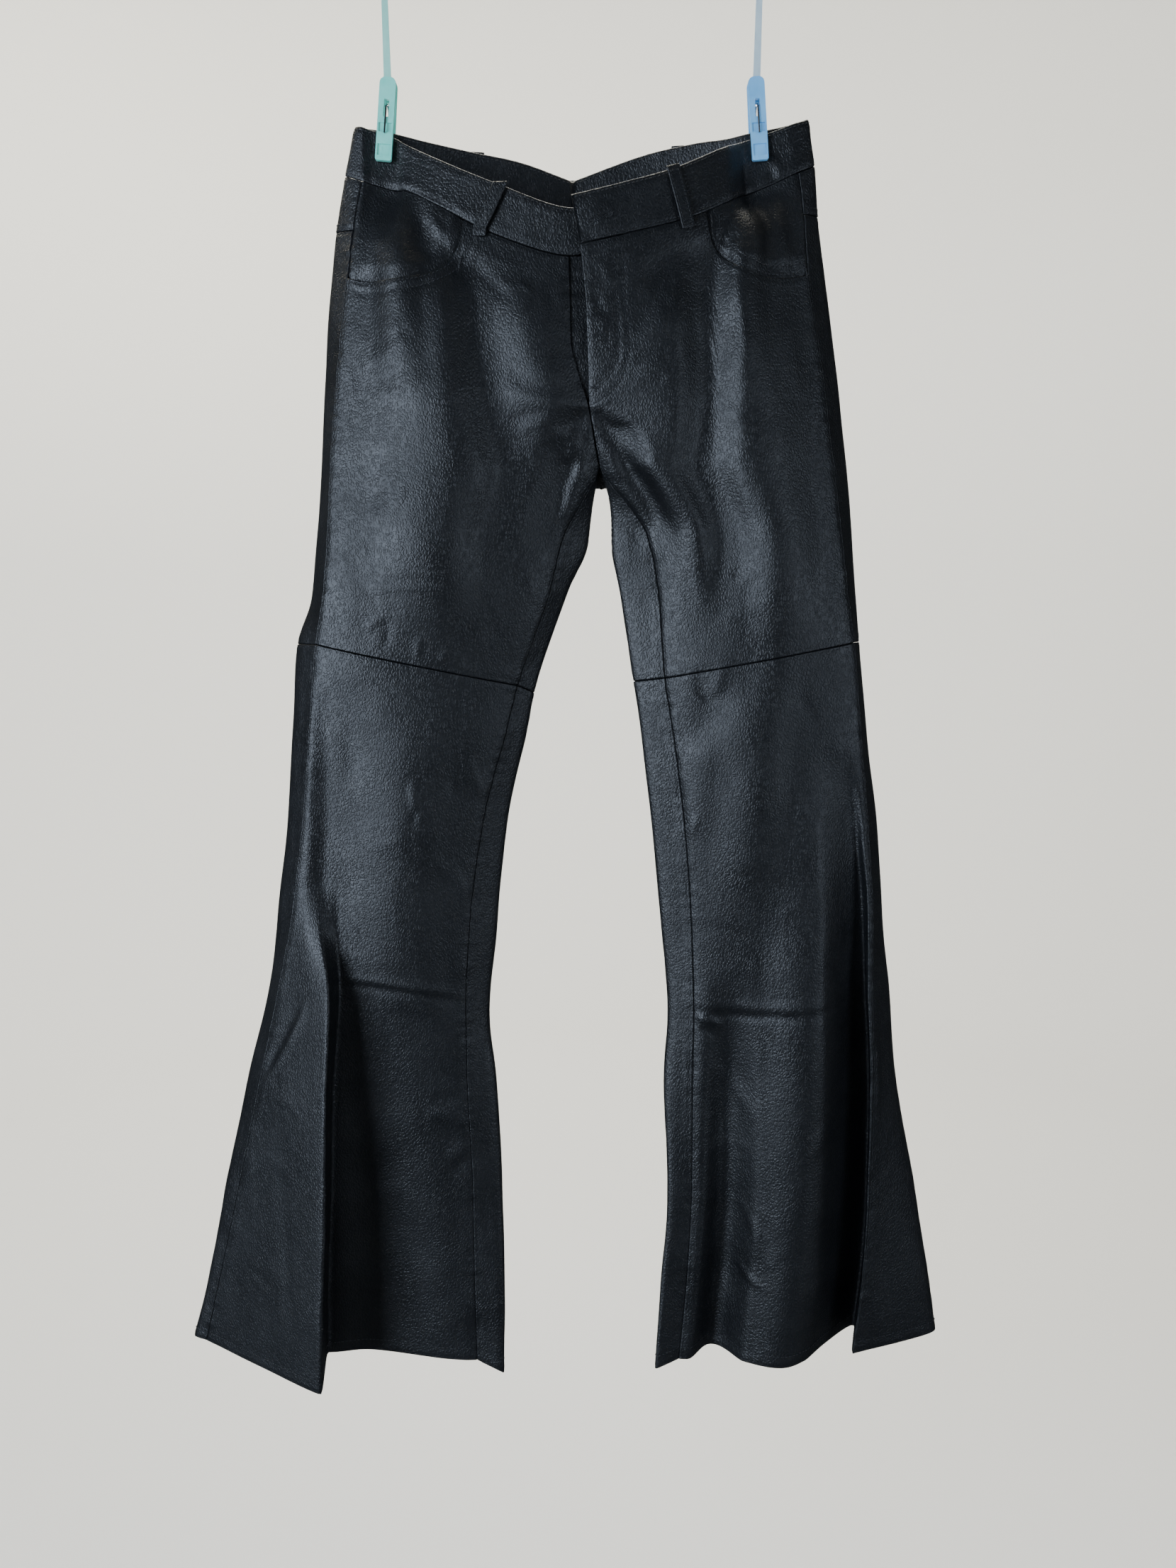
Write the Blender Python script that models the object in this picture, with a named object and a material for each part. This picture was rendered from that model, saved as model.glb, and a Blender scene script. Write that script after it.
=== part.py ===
"""Faux leather flared trousers, hung by their waistband from two plastic pegs on a plain rail.

Sizes are in millimetres while the shapes are worked out and in metres in the scene.
+X is the viewer's right, the front faces -Y and +Z is up. The origin is the middle of the rail.
Left and right are the viewer's.

Each leg is one closed surface of sections from the waist seam to the hem. A front row runs from the
outseam across the front to the centre front or the inseam, and a back row runs on from there, round
the inner edge, across the back and round the outer edge to the outseam. A panel is a patch of that
surface, given a wall. `along` counts the sections downwards: 0 is the waist seam, 8 the knee seam and
16 the hem. `across` is the share of a row's length, 0 where the row starts.
"""

from collections import namedtuple
import math

import bmesh
import bpy
import numpy as np

# ---------------------------------------------------------------- driving sizes, millimetres
CLOTH = 1.4              # wall of a single layer of faux leather
FACING = 1.1             # wall of a pocket's facing
BAND = 2.2               # wall of the waistband, two layers and their stiffening
SEAM_GAP = 0.4           # left between two pieces that are sewn together
LAYER_GAP = 1.3          # left between a panel and the layer behind it
FACING_SINK = 0.4        # how far a pocket's facing lies inside the leg's surface in the open mouth
POCKET_HEM = 13.0        # how far the pocket facing runs on behind the pocket's mouth
LOOP_WIDTH = 10.5        # belt loop
LOOP_WALL = 1.8
RAIL_RADIUS = 5.0
RAIL_HALF_LENGTH = 190.0
PEG_LENGTH = 62.0
PEG_WIDTH = 12.6
JAW_WALL = 3.4
STRAP_WALL = 1.4
WIRE_RADIUS = 0.7

WAIST, YOKE, POCKET, HIP, RISE, FORK, THIGH, MIDTHIGH, KNEE = range(9)
HEM = 16

# One row for each section of a leg, waist seam to hem. x and y of the outer edge of the tube, the
# outseam, the centre front or inseam, and the inner edge of the tube, which above the fork is the
# first stretch of the back beside its centre seam. belly is how far the front bows forward of its
# two seams, seat is the y of the back.
Section = namedtuple("Section", "z_out z_in z_inner x_outer x_out x_in x_inner "
                                "y_outer y_out y_in y_inner belly seat")
LEFT_SECTIONS = [
    #       z_out   z_in z_inner outer   out    in  inner  y_outer out  in inner belly seat
    Section(-168, -228, -195, -175.0, -160.0, 1.0, -9.0, 4, -6, -27, 27, 3, 26),         # waist seam
    Section(-204, -261, -258, -183.5, -168.0, 1.5, -9.0, 4, -10, -30, 31, 6, 30),        # yoke seam
    Section(-241, -293, -296, -189.0, -173.0, 2.0, -9.0, 4, -14, -32, 34, 9, 33),        # pocket's foot
    Section(-312, -341, -341, -196.0, -183.0, 15.0, -2.0, 4, -16, -29, 36, 13, 35),      # hip
    Section(-347, -363, -397, -199.0, -187.0, 19.0, 10.0, 4, -17, -22, 27, 15, 34),      # rise
    Section(-380, -385, -403, -201.5, -190.5, 23.0, 17.0, 4, -18, -14, 2, 17, 32),       # fork
    Section(-433, -443, -445, -207.0, -194.5, -7.0, 14.0, 4, -20, -10, 6, 18, 28),       # thigh
    Section(-486, -486, -486, -214.5, -200.5, -18.0, -4.0, 4, -20, -10, 6, 17, 26),      # middle thigh
    Section(-525, -560, -567, -228.0, -208.0, -45.0, -32.0, 4, -18, -10, 2, 14, 24),     # knee seam
    Section(-594, -602, -601, -235.0, -216.0, -56.0, -39.0, 4, -18, -12, 2, 13, 24),
    Section(-665, -667, -669, -242.0, -224.0, -74.0, -55.0, 4, -18, -14, 0, 12, 24),
    Section(-755, -758, -762, -255.0, -238.0, -88.0, -66.0, 4, -18, -16, -2, 11, 25),
    Section(-797, -837, -842, -260.0, -247.5, -93.0, -74.0, 4, -18, -18, -4, 10, 26),    # packing crease
    Section(-900, -893, -896, -287.0, -272.5, -93.0, -69.0, 4, -16, -20, -8, 8, 27),
    Section(-998, -994, -997, -311.0, -297.0, -90.0, -65.0, 4, -12, -24, -16, 6, 28),
    Section(-1082, -1070, -1072, -330.0, -318.5, -90.0, -64.0, 4, -8, -28, -24, 5, 29),
    Section(-1143, -1147, -1157, -347.0, -334.0, -89.0, -65.0, 4, -6, -32, -34, 4, 30),  # hem
]
RIGHT_SECTIONS = [
    Section(-164, -223, -195, 193.5, 180.0, 10.0, 19.0, 4, -6, -36, 27, 3, 26),          # waist seam
    Section(-195, -262, -258, 197.0, 184.5, 13.0, 20.0, 4, -10, -38, 31, 6, 30),         # yoke seam
    Section(-241, -293, -296, 204.0, 188.0, 14.0, 21.0, 4, -14, -37, 34, 9, 33),         # pocket's foot
    Section(-315, -341, -341, 215.0, 199.5, 15.0, 29.0, 4, -16, -29, 36, 13, 35),        # hip
    Section(-350, -363, -397, 219.5, 204.5, 19.0, 37.0, 4, -17, -22, 27, 15, 34),        # rise
    Section(-383, -385, -403, 224.0, 209.0, 23.0, 32.0, 4, -18, -14, 2, 17, 32),         # fork
    Section(-436, -440, -446, 229.0, 216.5, 62.0, 33.0, 4, -18, -5, 6, 18, 28),          # thigh
    Section(-489, -486, -486, 233.5, 223.5, 71.0, 39.5, 4, -18, -6, 6, 17, 26),          # middle thigh
    Section(-527, -555, -558, 237.0, 229.5, 76.0, 50.5, 4, -18, -8, 4, 15, 24),          # knee seam
    Section(-614, -601, -601, 247.0, 238.0, 83.0, 56.5, 4, -18, -10, 2, 14, 24),
    Section(-685, -685, -687, 257.0, 245.0, 93.0, 66.0, 4, -18, -12, 0, 13, 24),
    Section(-759, -760, -763, 263.0, 250.0, 98.0, 73.0, 4, -20, -14, -2, 12, 25),
    Section(-820, -838, -838, 270.5, 250.5, 100.0, 78.5, 4, -22, -18, -6, 11, 26),       # packing crease
    Section(-900, -894, -896, 278.5, 253.0, 99.0, 75.0, 3, -25, -20, -10, 9, 27),
    Section(-1000, -994, -997, 296.5, 251.0, 98.0, 77.5, 0, -30, -26, -22, 6, 28),
    Section(-1069, -1070, -1072, 307.5, 246.5, 94.0, 71.5, -4, -34, -30, -30, 4, 29),
    Section(-1140, -1146, -1150, 318.0, 237.5, 87.0, 65.5, -6, -38, -34, -40, 3, 30),    # hem
]

# The centre front seam, hip to fork, and the centre back seam, waist seam to fork, where they meet
# both inseams.
SeamPoint = namedtuple("SeamPoint", "x y z")
CENTRE_FRONT = [
    SeamPoint(15, -29, -341),
    SeamPoint(19, -22, -363),
    SeamPoint(23, -14, -385),
]
CENTRE_BACK = [
    SeamPoint(4, 27, -197),
    SeamPoint(6, 31, -262),
    SeamPoint(7, 34, -300),
    SeamPoint(14, 36, -345),
    SeamPoint(24, 12, -401),
    SeamPoint(23, -14, -385),
]

# A fold is a ridge (forward above nought) or a trough that runs down a panel. Its crest lies at
# start, middle and end across the panel and dies out over fade_in sections at its top and fade_out
# at its foot. reach_out and reach_in are its widths towards the outseam and away from it, as shares
# of the row, and aside moves the crest towards the outseam. soft is 1 for a knife edge with flat
# sides and 2 for a round wave.
Fold = namedtuple("Fold", "start middle end top foot reach_out reach_in forward aside "
                          "fade_in fade_out soft")
TO_SEAM = None           # reach_out of a fold whose outer side is flat as far as the outseam
LEFT_FRONT_FOLDS = [
    Fold(0.13, 0.20, 0.30, -1.0, 4.0, 0.12, 0.14, 6, 0, 0.6, 2.5, 2.0),         # below the peg
    Fold(0.40, 0.45, 0.60, 1.0, 8.6, 0.36, 0.19, 9, 0, 2.5, 3.0, 2.0),         # thigh's ridge
    Fold(0.54, 0.67, 0.84, 0.6, 8.0, 0.16, 0.24, -5, 0, 2.0, 3.0, 2.0),         # thigh's trough
    Fold(0.86, 0.87, 0.88, 0.8, 7.0, 0.24, 0.12, 3, 0, 2.0, 2.5, 2.0),          # beside the fly
    Fold(0.98, 0.87, 0.98, 3.1, 6.6, 0.11, 0.08, -5, 0, 0.8, 1.4, 1.8),         # fork's trough
    Fold(0.08, 0.16, 0.26, 8.3, 12.4, 0.12, 0.44, -5, 0, 1.8, 1.6, 2.0),        # side of the shin
    Fold(0.56, 0.66, 0.80, 8.0, 12.8, 0.40, 0.20, 3, 0, 2.0, 1.8, 2.0),
    Fold(0.12, 0.26, 0.34, 10.6, 16.0, TO_SEAM, 0.12, 62, -36, 5.4, 0.0, 1.15),  # flare's knife edge
    Fold(0.34, 0.56, 0.62, 11.5, 16.0, 0.16, 0.30, -8, 0, 4.0, 0.0, 2.0),       # trough beside it
]
RIGHT_FRONT_FOLDS = [
    Fold(0.19, 0.30, 0.37, -1.0, 4.0, 0.14, 0.12, 6, 0, 0.6, 2.5, 2.0),         # below the peg
    Fold(0.27, 0.33, 0.42, 1.0, 9.2, 0.25, 0.20, 8, 0, 2.5, 3.0, 2.0),         # thigh's ridge
    Fold(0.46, 0.55, 0.76, 0.6, 8.2, 0.17, 0.14, -6, 0, 2.0, 3.0, 2.0),         # thigh's trough
    Fold(0.59, 0.68, 0.88, 0.8, 8.0, 0.14, 0.28, 4, 0, 2.0, 2.5, 2.0),          # beside the fly
    Fold(0.98, 0.87, 0.99, 3.2, 6.4, 0.10, 0.07, -5, 0, 0.8, 1.4, 1.8),       # fork's trough
    Fold(0.88, 0.78, 0.86, 3.8, 6.9, 0.12, 0.10, 3, 0, 1.2, 1.4, 2.0),          # its outer lip
    Fold(0.42, 0.60, 0.72, 7.8, 11.2, 0.20, 0.24, 5, 0, 1.6, 1.6, 2.0),         # slants down the shin
    Fold(0.11, 0.10, 0.08, 9.0, 16.0, 0.08, 0.20, -44, 22, 7.0, 0.0, 1.7),      # tuck at the outseam
    Fold(0.28, 0.38, 0.42, 9.4, 16.0, 0.22, 0.30, 14, 0, 5.6, 0.0, 2.0),       # flare's wave
    Fold(0.80, 0.80, 0.80, 11.5, 16.0, 0.17, 0.15, -22, 0, 4.5, 0.0, 2.0),      # flare's inner trough
]
# Across a back row, 0 is the centre back or the inseam and 1 the outseam.
LEFT_BACK_FOLDS = [
    Fold(0.62, 0.58, 0.55, 1.0, 8.0, 0.26, 0.26, 8, 0, 2.5, 3.0, 2.0),
    Fold(0.30, 0.34, 0.36, 3.5, 8.5, 0.15, 0.15, -7, 0, 2.0, 2.5, 2.0),
    Fold(0.28, 0.30, 0.30, 10.5, 16.0, 0.16, 0.16, 16, 0, 5.0, 0.0, 1.8),
    Fold(0.50, 0.50, 0.50, 10.5, 16.0, 0.15, 0.15, -18, 0, 5.0, 0.0, 1.8),
    Fold(0.70, 0.71, 0.72, 10.5, 16.0, 0.16, 0.16, 16, 0, 5.0, 0.0, 1.8),
]
RIGHT_BACK_FOLDS = [
    Fold(0.60, 0.62, 0.60, 1.0, 8.0, 0.26, 0.26, 8, 0, 2.5, 3.0, 2.0),
    Fold(0.32, 0.33, 0.38, 3.5, 8.5, 0.15, 0.15, -7, 0, 2.0, 2.5, 2.0),
    Fold(0.32, 0.30, 0.27, 10.5, 16.0, 0.15, 0.15, 14, 0, 5.0, 0.0, 1.8),
    Fold(0.46, 0.45, 0.44, 10.5, 16.0, 0.14, 0.14, -16, 0, 5.0, 0.0, 1.8),
    Fold(0.62, 0.61, 0.60, 10.5, 16.0, 0.14, 0.16, 16, 0, 5.0, 0.0, 1.8),
]

# One row for each station of a waistband half, from its front end round the side to the centre
# back. The top and bottom edge of its outer face. OUTSEAM_STATION is where the outseam starts.
Station = namedtuple("Station", "x_top y_top z_top x_bottom y_bottom z_bottom")
LEFT_BAND = [
    Station(42, -28, -184, 44, -26, -216),            # end of the underlap
    Station(1, -29.5, -195, 1, -28, -229.5),          # centre front
    Station(-56, -24, -174.5, -57, -25, -212),        # belt loop
    Station(-94, -16, -157, -102, -18, -188),
    Station(-125, -4.5, -140, -125, -9, -175.5),
    Station(-134, -2.8, -134.5, -134, -4.2, -174),
    Station(-152, -2.8, -128.5, -152, -4.2, -169),
    Station(-160, -3.5, -126, -160.5, -6, -166.5),    # outseam
    Station(-165, 0, -125, -174.5, 0.5, -161),        # side fold
    Station(-160, 3.5, -125.5, -163, 6, -163),
    Station(-152, 2.8, -126.5, -152, 4.2, -165),
    Station(-134, 2.8, -130, -134, 4.2, -169),
    Station(-110, 8, -134, -112, 13, -173),
    Station(-75, 16, -139, -76, 19, -180),
    Station(-37, 22, -145, -37, 24, -187.5),
    Station(3.5, 28, -157.5, 4, 27, -197),            # centre back
]
RIGHT_BAND = [
    Station(3, -38, -188.5, 9.5, -38, -223.5),        # end of the extension
    Station(36, -37, -181, 41, -37.5, -217),          # buttonhole
    Station(80, -31, -168, 90, -32, -204.5),          # belt loop
    Station(118, -17, -149, 121, -22, -190.5),
    Station(133, -5, -141, 134, -12, -182.5),
    Station(141, -2.8, -138, 141, -4.2, -178.5),
    Station(158, -2.8, -132.5, 159, -4.2, -171.5),
    Station(176, -5, -127, 180, -6, -163),            # outseam
    Station(188, 0, -122.5, 193.5, 0, -156.5),        # side fold
    Station(176, 5, -124.5, 180, 6, -158.5),
    Station(158, 2.8, -129, 159, 4.2, -164),
    Station(141, 2.8, -132, 141, 4.2, -169.5),
    Station(125, 7, -134, 126, 10, -172.5),
    Station(98, 14, -135, 98, 18, -176),
    Station(58, 22, -141, 58, 24, -183),
    Station(3.5, 28, -157.5, 4, 27, -197),            # centre back
]
OUTSEAM_STATION = 7

Mouth = namedtuple("Mouth", "width power")     # a pocket's mouth: share of the front row, roundness
Crest = namedtuple("Crest", "top high columns")  # where a flare's knife edge starts, its furthest across
Leg = namedtuple("Leg", "name side sections front_folds back_folds band front_station mouth crest")
LEGS = (
    Leg("left", -1, LEFT_SECTIONS, LEFT_FRONT_FOLDS, LEFT_BACK_FOLDS, LEFT_BAND, 1,
        Mouth(0.515, 2.3), Crest(11.4, 0.6, 9)),
    Leg("right", 1, RIGHT_SECTIONS, RIGHT_FRONT_FOLDS, RIGHT_BACK_FOLDS, RIGHT_BAND, 0,
        Mouth(0.465, 2.6), None),
)
POCKET_DEPTH = 2.0                    # the mouth's lowest section, at the outseam
FACING_DIP = 0.45                     # sections over which the facing dips behind the mouth
SECTION_STEP = 36.0                   # about the height of a section there
BAND_BLEND = 1.2                      # sections over which a panel leaves the waistband's line

Peg = namedtuple("Peg", "name x z lean strap_x")
PEGS = (
    Peg("left", -143.0, -152.5, -5.0, -139.5),
    Peg("right", 150.0, -154.5, 3.5, 149.5),
)

DENSE_ROWS = 20                       # rows of the leg's surface worked out for each section
DENSE_COLUMNS = 181
SHIN_ROWS = 20
SHIN_COLUMNS = 25
# Sections at which both thigh panels have their rows, closer together round the fork.
THIGH_ROWS = np.array([0, 0.5, 1, 1.5, 2, 2.5, 3, 3.35, 3.7, 4, 4.3, 4.65, 5, 5.35, 5.7, 6.1, 6.5,
                       7, 7.5, 8])


# ---------------------------------------------------------------- materials
def material(name, colour, roughness, metallic=0.0):
    made = bpy.data.materials.new(name)
    made.use_nodes = True
    shader = made.node_tree.nodes["Principled BSDF"]
    shader.inputs["Base Color"].default_value = (*colour, 1.0)
    shader.inputs["Roughness"].default_value = roughness
    shader.inputs["Metallic"].default_value = metallic
    made.diffuse_color = (*colour, 1.0)
    return made


# ---------------------------------------------------------------- curves and surfaces
def track(values, at):
    """Values given at 0, 1, 2 and so on, read between them on cubics that never overshoot."""
    values = np.asarray(values, float)
    step = np.diff(values)
    slope = np.zeros_like(values)
    product = step[1:] * step[:-1]
    total = np.where(product > 0, step[1:] + step[:-1], 1.0)
    slope[1:-1] = np.where(product > 0, 2 * product / total, 0.0)
    slope[0], slope[-1] = step[0], step[-1]
    i = np.clip(np.floor(at).astype(int), 0, len(values) - 2)
    t = at - i
    return (
        (1 + 2 * t) * (1 - t) ** 2 * values[i]
        + t * (1 - t) ** 2 * slope[i]
        + t * t * (3 - 2 * t) * values[i + 1]
        + t * t * (t - 1) * slope[i + 1]
    )


def spline(points, per_span):
    """A curve through points, shape (..., count, 3): cubics whose slope at a point is half the step
    between its two neighbours."""
    slope = np.empty_like(points)
    slope[..., 1:-1, :] = (points[..., 2:, :] - points[..., :-2, :]) / 2
    slope[..., 0, :] = points[..., 1, :] - points[..., 0, :]
    slope[..., -1, :] = points[..., -1, :] - points[..., -2, :]
    t = np.linspace(0, 1, per_span, endpoint=False)[:, None]
    spans = []
    for i in range(points.shape[-2] - 1):
        a, b = points[..., i, None, :], points[..., i + 1, None, :]
        m, n = slope[..., i, None, :], slope[..., i + 1, None, :]
        spans.append((1 + 2 * t) * (1 - t) ** 2 * a + t * (1 - t) ** 2 * m
                     + t * t * (3 - 2 * t) * b + t * t * (t - 1) * n)
    spans.append(points[..., -1:, :])
    return np.concatenate(spans, axis=-2)


def even(rows, count):
    """Each row of points, shape (rows, n, 3), read again at count equal steps of its length."""
    out = np.empty((len(rows), count, 3))
    for i, row in enumerate(rows):
        length = np.concatenate([[0], np.cumsum(np.linalg.norm(np.diff(row, axis=0), axis=1))])
        at = np.linspace(0, length[-1], count)
        for axis in range(3):
            out[i, :, axis] = np.interp(at, length, row[:, axis])
    return out


def ramp(t):
    """0 below 0, 1 above 1, a quarter sine between."""
    return np.sin(np.clip(t, 0, 1) * math.pi / 2)


def fold_shift(folds, across, along, side):
    """Sum of the folds at across, shape (rows, n), and along, shape (rows, 1): x and y shifts."""
    shift_x = np.zeros_like(across)
    shift_y = np.zeros_like(across)
    for fold in folds:
        t = np.clip((along - fold.top) / (fold.foot - fold.top), 0, 1)
        crest = (fold.start * (1 - t) * (1 - 2 * t) + 4 * fold.middle * t * (1 - t)
                 + fold.end * t * (2 * t - 1))
        height = ramp((along - fold.top) / fold.fade_in)
        if fold.fade_out:
            height = height * ramp((fold.foot - along) / fold.fade_out) ** 2
        out = crest if fold.reach_out is TO_SEAM else fold.reach_out
        away = across - crest
        distance = np.clip(np.abs(away) / np.where(away < 0, out, fold.reach_in), 0, 1)
        lift = height * (1 - distance ** fold.soft) ** fold.soft
        shift_y += lift * fold.forward
        shift_x += lift * fold.aside * side
    return shift_x, shift_y


def columns(leg, along):
    """The leg's section table read at along: a Section of arrays of the same shape."""
    return Section(*(track(column, along) for column in zip(*leg.sections)))


def band_edge(leg, first, last, edge, per_span=12):
    """The waistband's top or bottom edge from one station to another, one point a row of three."""
    points = np.array([station[:3] if edge == "top" else station[3:] for station in leg.band], float)
    whole = spline(points, per_span)
    return whole[min(first, last) * per_span:max(first, last) * per_span + 1][:: 1 if last > first else -1]


def front_surface(leg, along):
    """Front rows, outseam to inner seam: a straight line between the seams, bowed forward by
    belly * (4 f (1 - f)) ** 0.75, and shifted by the front folds."""
    f = np.linspace(0, 1, 2 * DENSE_COLUMNS)[None, :]
    v = along[:, None]
    s = columns(leg, v)
    seam = [track(column, np.clip(v - HIP, 0, FORK - HIP)) for column in zip(*CENTRE_FRONT)]
    shared = (v >= HIP) & (v <= FORK)
    x_in, y_in, z_in = (np.where(shared, a, b) for a, b in zip(seam, (s.x_in, s.y_in, s.z_in)))
    shift_x, shift_y = fold_shift(leg.front_folds, np.repeat(f, len(along), 0), v, leg.side)
    x = s.x_out + (x_in - s.x_out) * f + shift_x
    y = s.y_out + (y_in - s.y_out) * f - s.belly * (4 * f * (1 - f)) ** 0.75 - shift_y
    z = s.z_out + (z_in - s.z_out) * f
    return even(np.stack(np.broadcast_arrays(x, y, z), axis=-1), DENSE_COLUMNS)


def back_surface(leg, along):
    """Back rows, inner seam to outseam: a spline round the tube's inner edge, across at the depth
    of the seat and round its outer edge, shifted by the back folds."""
    s = columns(leg, along)
    above = np.clip(along, 0, FORK)
    centre = [track(column, above) for column in zip(*CENTRE_BACK)]
    open_top = along < FORK
    seam = [np.where(open_top, c, own) for c, own in zip(centre, (s.x_in, s.y_in, s.z_in))]
    points = [seam, [s.x_inner, s.y_inner, s.z_inner]]
    for share, depth in ((0.13, 0.72), (0.38, 1.0), (0.66, 0.98), (0.90, 0.66)):
        near, far = s.y_inner, s.y_outer
        edge = near if share < 0.5 else far
        points.append([
            s.x_inner + (s.x_outer - s.x_inner) * share,
            edge + (s.seat - edge) * depth,
            s.z_inner + (s.z_out - s.z_inner) * share,
        ])
    points.append([s.x_outer, s.y_outer, s.z_out])
    points.append([s.x_out, s.y_out, s.z_out])
    rows = even(spline(np.moveaxis(np.array(points), 2, 0), 14), DENSE_COLUMNS)
    g = np.repeat(np.linspace(0, 1, DENSE_COLUMNS)[None, :], len(along), 0)
    shift_x, shift_y = fold_shift(leg.back_folds, g, along[:, None], leg.side)
    rows[..., 0] += shift_x
    rows[..., 1] += shift_y
    return rows


def join_band(leg, rows, edge, along):
    """Rows drawn to the waistband's bottom edge at the waist seam, and let go below it."""
    share = 1 - np.clip(along / BAND_BLEND, 0, 1)
    share = (share * share * (3 - 2 * share))[:, None, None]
    target = even(edge[None], DENSE_COLUMNS)[0] - np.array([0, 0, SEAM_GAP])
    return rows + share * (target - rows[0])[None]


def normals_of(rows, outward):
    """Unit normals of a surface of rows, turned so that they point out of the leg."""
    across = np.gradient(rows, axis=1)
    down = np.gradient(rows, axis=0)
    normal = np.cross(across, down) * outward
    return normal / np.maximum(np.linalg.norm(normal, axis=-1, keepdims=True), 1e-9)


def unit(vectors):
    return vectors / np.maximum(np.linalg.norm(vectors, axis=-1, keepdims=True), 1e-9)


def share_normals(a, b):
    """Two seam edges that meet get the same normals, so that their walls are mitred."""
    both = unit(a + b)
    a[...] = both
    b[...] = both


class Surface:
    """A leg's front or back: rows of points and normals, read at any along and across."""

    def __init__(self, rows, normals):
        self.rows = rows
        self.normals = normals

    def read(self, grid, along, across):
        i = np.clip(along * DENSE_ROWS, 0, len(grid) - 1.000001)
        j = np.clip(across * (DENSE_COLUMNS - 1), 0, DENSE_COLUMNS - 1.000001)
        i0, j0 = np.floor(i).astype(int), np.floor(j).astype(int)
        di, dj = (i - i0)[..., None], (j - j0)[..., None]
        return (
            grid[i0, j0] * (1 - di) * (1 - dj)
            + grid[i0 + 1, j0] * di * (1 - dj)
            + grid[i0, j0 + 1] * (1 - di) * dj
            + grid[i0 + 1, j0 + 1] * di * dj
        )

    def at(self, along, across, inward=0.0):
        """Points on the outer face, or inward of it."""
        along, across = np.broadcast_arrays(np.asarray(along, float), np.asarray(across, float))
        normal = unit(self.read(self.normals, along, across))
        return self.read(self.rows, along, across) - normal * inward

    def length(self, along):
        """Length of the row at along."""
        points = self.at(along, np.linspace(0, 1, 60))
        return float(np.linalg.norm(np.diff(points, axis=0), axis=1).sum())


def leg_surfaces():
    """The front and back of both legs, with the normals of seams that meet made equal."""
    along = np.arange(HEM * DENSE_ROWS + 1) / DENSE_ROWS
    made = {}
    for leg in LEGS:
        front = front_surface(leg, along)
        back = back_surface(leg, along)
        front_edge = band_edge(leg, OUTSEAM_STATION, leg.front_station, "bottom")
        back_edge = band_edge(leg, len(leg.band) - 1, OUTSEAM_STATION, "bottom")
        front = join_band(leg, front, front_edge, along)
        back = join_band(leg, back, back_edge, along)
        made[leg.name] = (
            Surface(front, normals_of(front, leg.side)),
            Surface(back, normals_of(back, leg.side)),
        )
    fork = FORK * DENSE_ROWS
    hip = HIP * DENSE_ROWS
    for front, back in made.values():
        share_normals(front.normals[:, 0], back.normals[:, -1])
        share_normals(front.normals[fork:, -1], back.normals[fork:, 0])
    (left_front, left_back), (right_front, right_back) = made["left"], made["right"]
    share_normals(left_front.normals[hip:fork, -1], right_front.normals[hip:fork, -1])
    share_normals(left_back.normals[:fork, 0], right_back.normals[:fork, 0])
    return made


# ---------------------------------------------------------------- solids
def add_object(name, vertices, faces, finish, smooth=True):
    mesh = bpy.data.meshes.new(name)
    mesh.from_pydata([tuple(v) for v in np.asarray(vertices) * 0.001], [], [tuple(f) for f in faces])
    work = bmesh.new()
    work.from_mesh(mesh)
    bmesh.ops.recalc_face_normals(work, faces=work.faces)
    work.to_mesh(mesh)
    work.free()
    if smooth:
        mesh.shade_smooth()
        mesh.set_sharp_from_angle(angle=math.radians(40))
    made = bpy.data.objects.new(name, mesh)
    bpy.context.scene.collection.objects.link(made)
    mesh.materials.append(finish)
    return made


def wall_solid(name, outer, inner, finish):
    """A closed wall between two grids of points of the same shape (rows, columns, 3)."""
    rows, count = outer.shape[:2]
    vertices = np.concatenate([outer.reshape(-1, 3), inner.reshape(-1, 3)])
    index = np.arange(rows * count).reshape(rows, count)
    quads = np.stack([index[:-1, :-1], index[:-1, 1:], index[1:, 1:], index[1:, :-1]], -1).reshape(-1, 4)
    rim = np.concatenate([index[0, :-1], index[:-1, -1], index[-1, :0:-1], index[:0:-1, 0]])
    around = np.stack([np.roll(rim, -1), rim, rim + rows * count, np.roll(rim, -1) + rows * count], -1)
    faces = np.concatenate([quads, quads[:, ::-1] + rows * count, around])
    return add_object(name, vertices, faces, finish)


def panel(name, surface, along, across, wall, finish, inward=0.0):
    """A patch of a leg's surface, with its wall inside the outer face."""
    return wall_solid(name, surface.at(along, across, inward), surface.at(along, across, inward + wall),
                      finish)


def spaced(start, end, count, surface, along):
    """Shares of a row from start to end, kept half a seam gap clear of the row's own two ends."""
    trim = SEAM_GAP / 2 / surface.length(along)
    return np.clip(np.linspace(start, end, count), trim, 1 - trim)


def section_gap(leg, along):
    """Half a seam gap as a share of a section, at along."""
    z = columns(leg, np.array([along, along + 0.5])).z_out
    return SEAM_GAP / 2 / abs(z[1] - z[0]) * 0.5


def mouth_line(leg, across):
    """The section of a pocket's mouth at across: a quarter of a superellipse, 0 past its end."""
    share = np.clip(across / leg.mouth.width, 0, 1)
    return POCKET_DEPTH * (1 - share ** leg.mouth.power) ** (1 / leg.mouth.power)


def crest_share(surface, along, low, high):
    """Across of the frontmost point of each row between low and high."""
    first, last = int(low * (DENSE_COLUMNS - 1)), int(high * (DENSE_COLUMNS - 1))
    rows = surface.rows[:, first:last, 1]
    crest = (first + np.argmin(rows, axis=1)) / (DENSE_COLUMNS - 1)
    crest = np.convolve(np.pad(crest, 12, mode="edge"), np.ones(25) / 25, mode="valid")
    return np.interp(along, np.arange(len(crest)) / DENSE_ROWS, crest)


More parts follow.
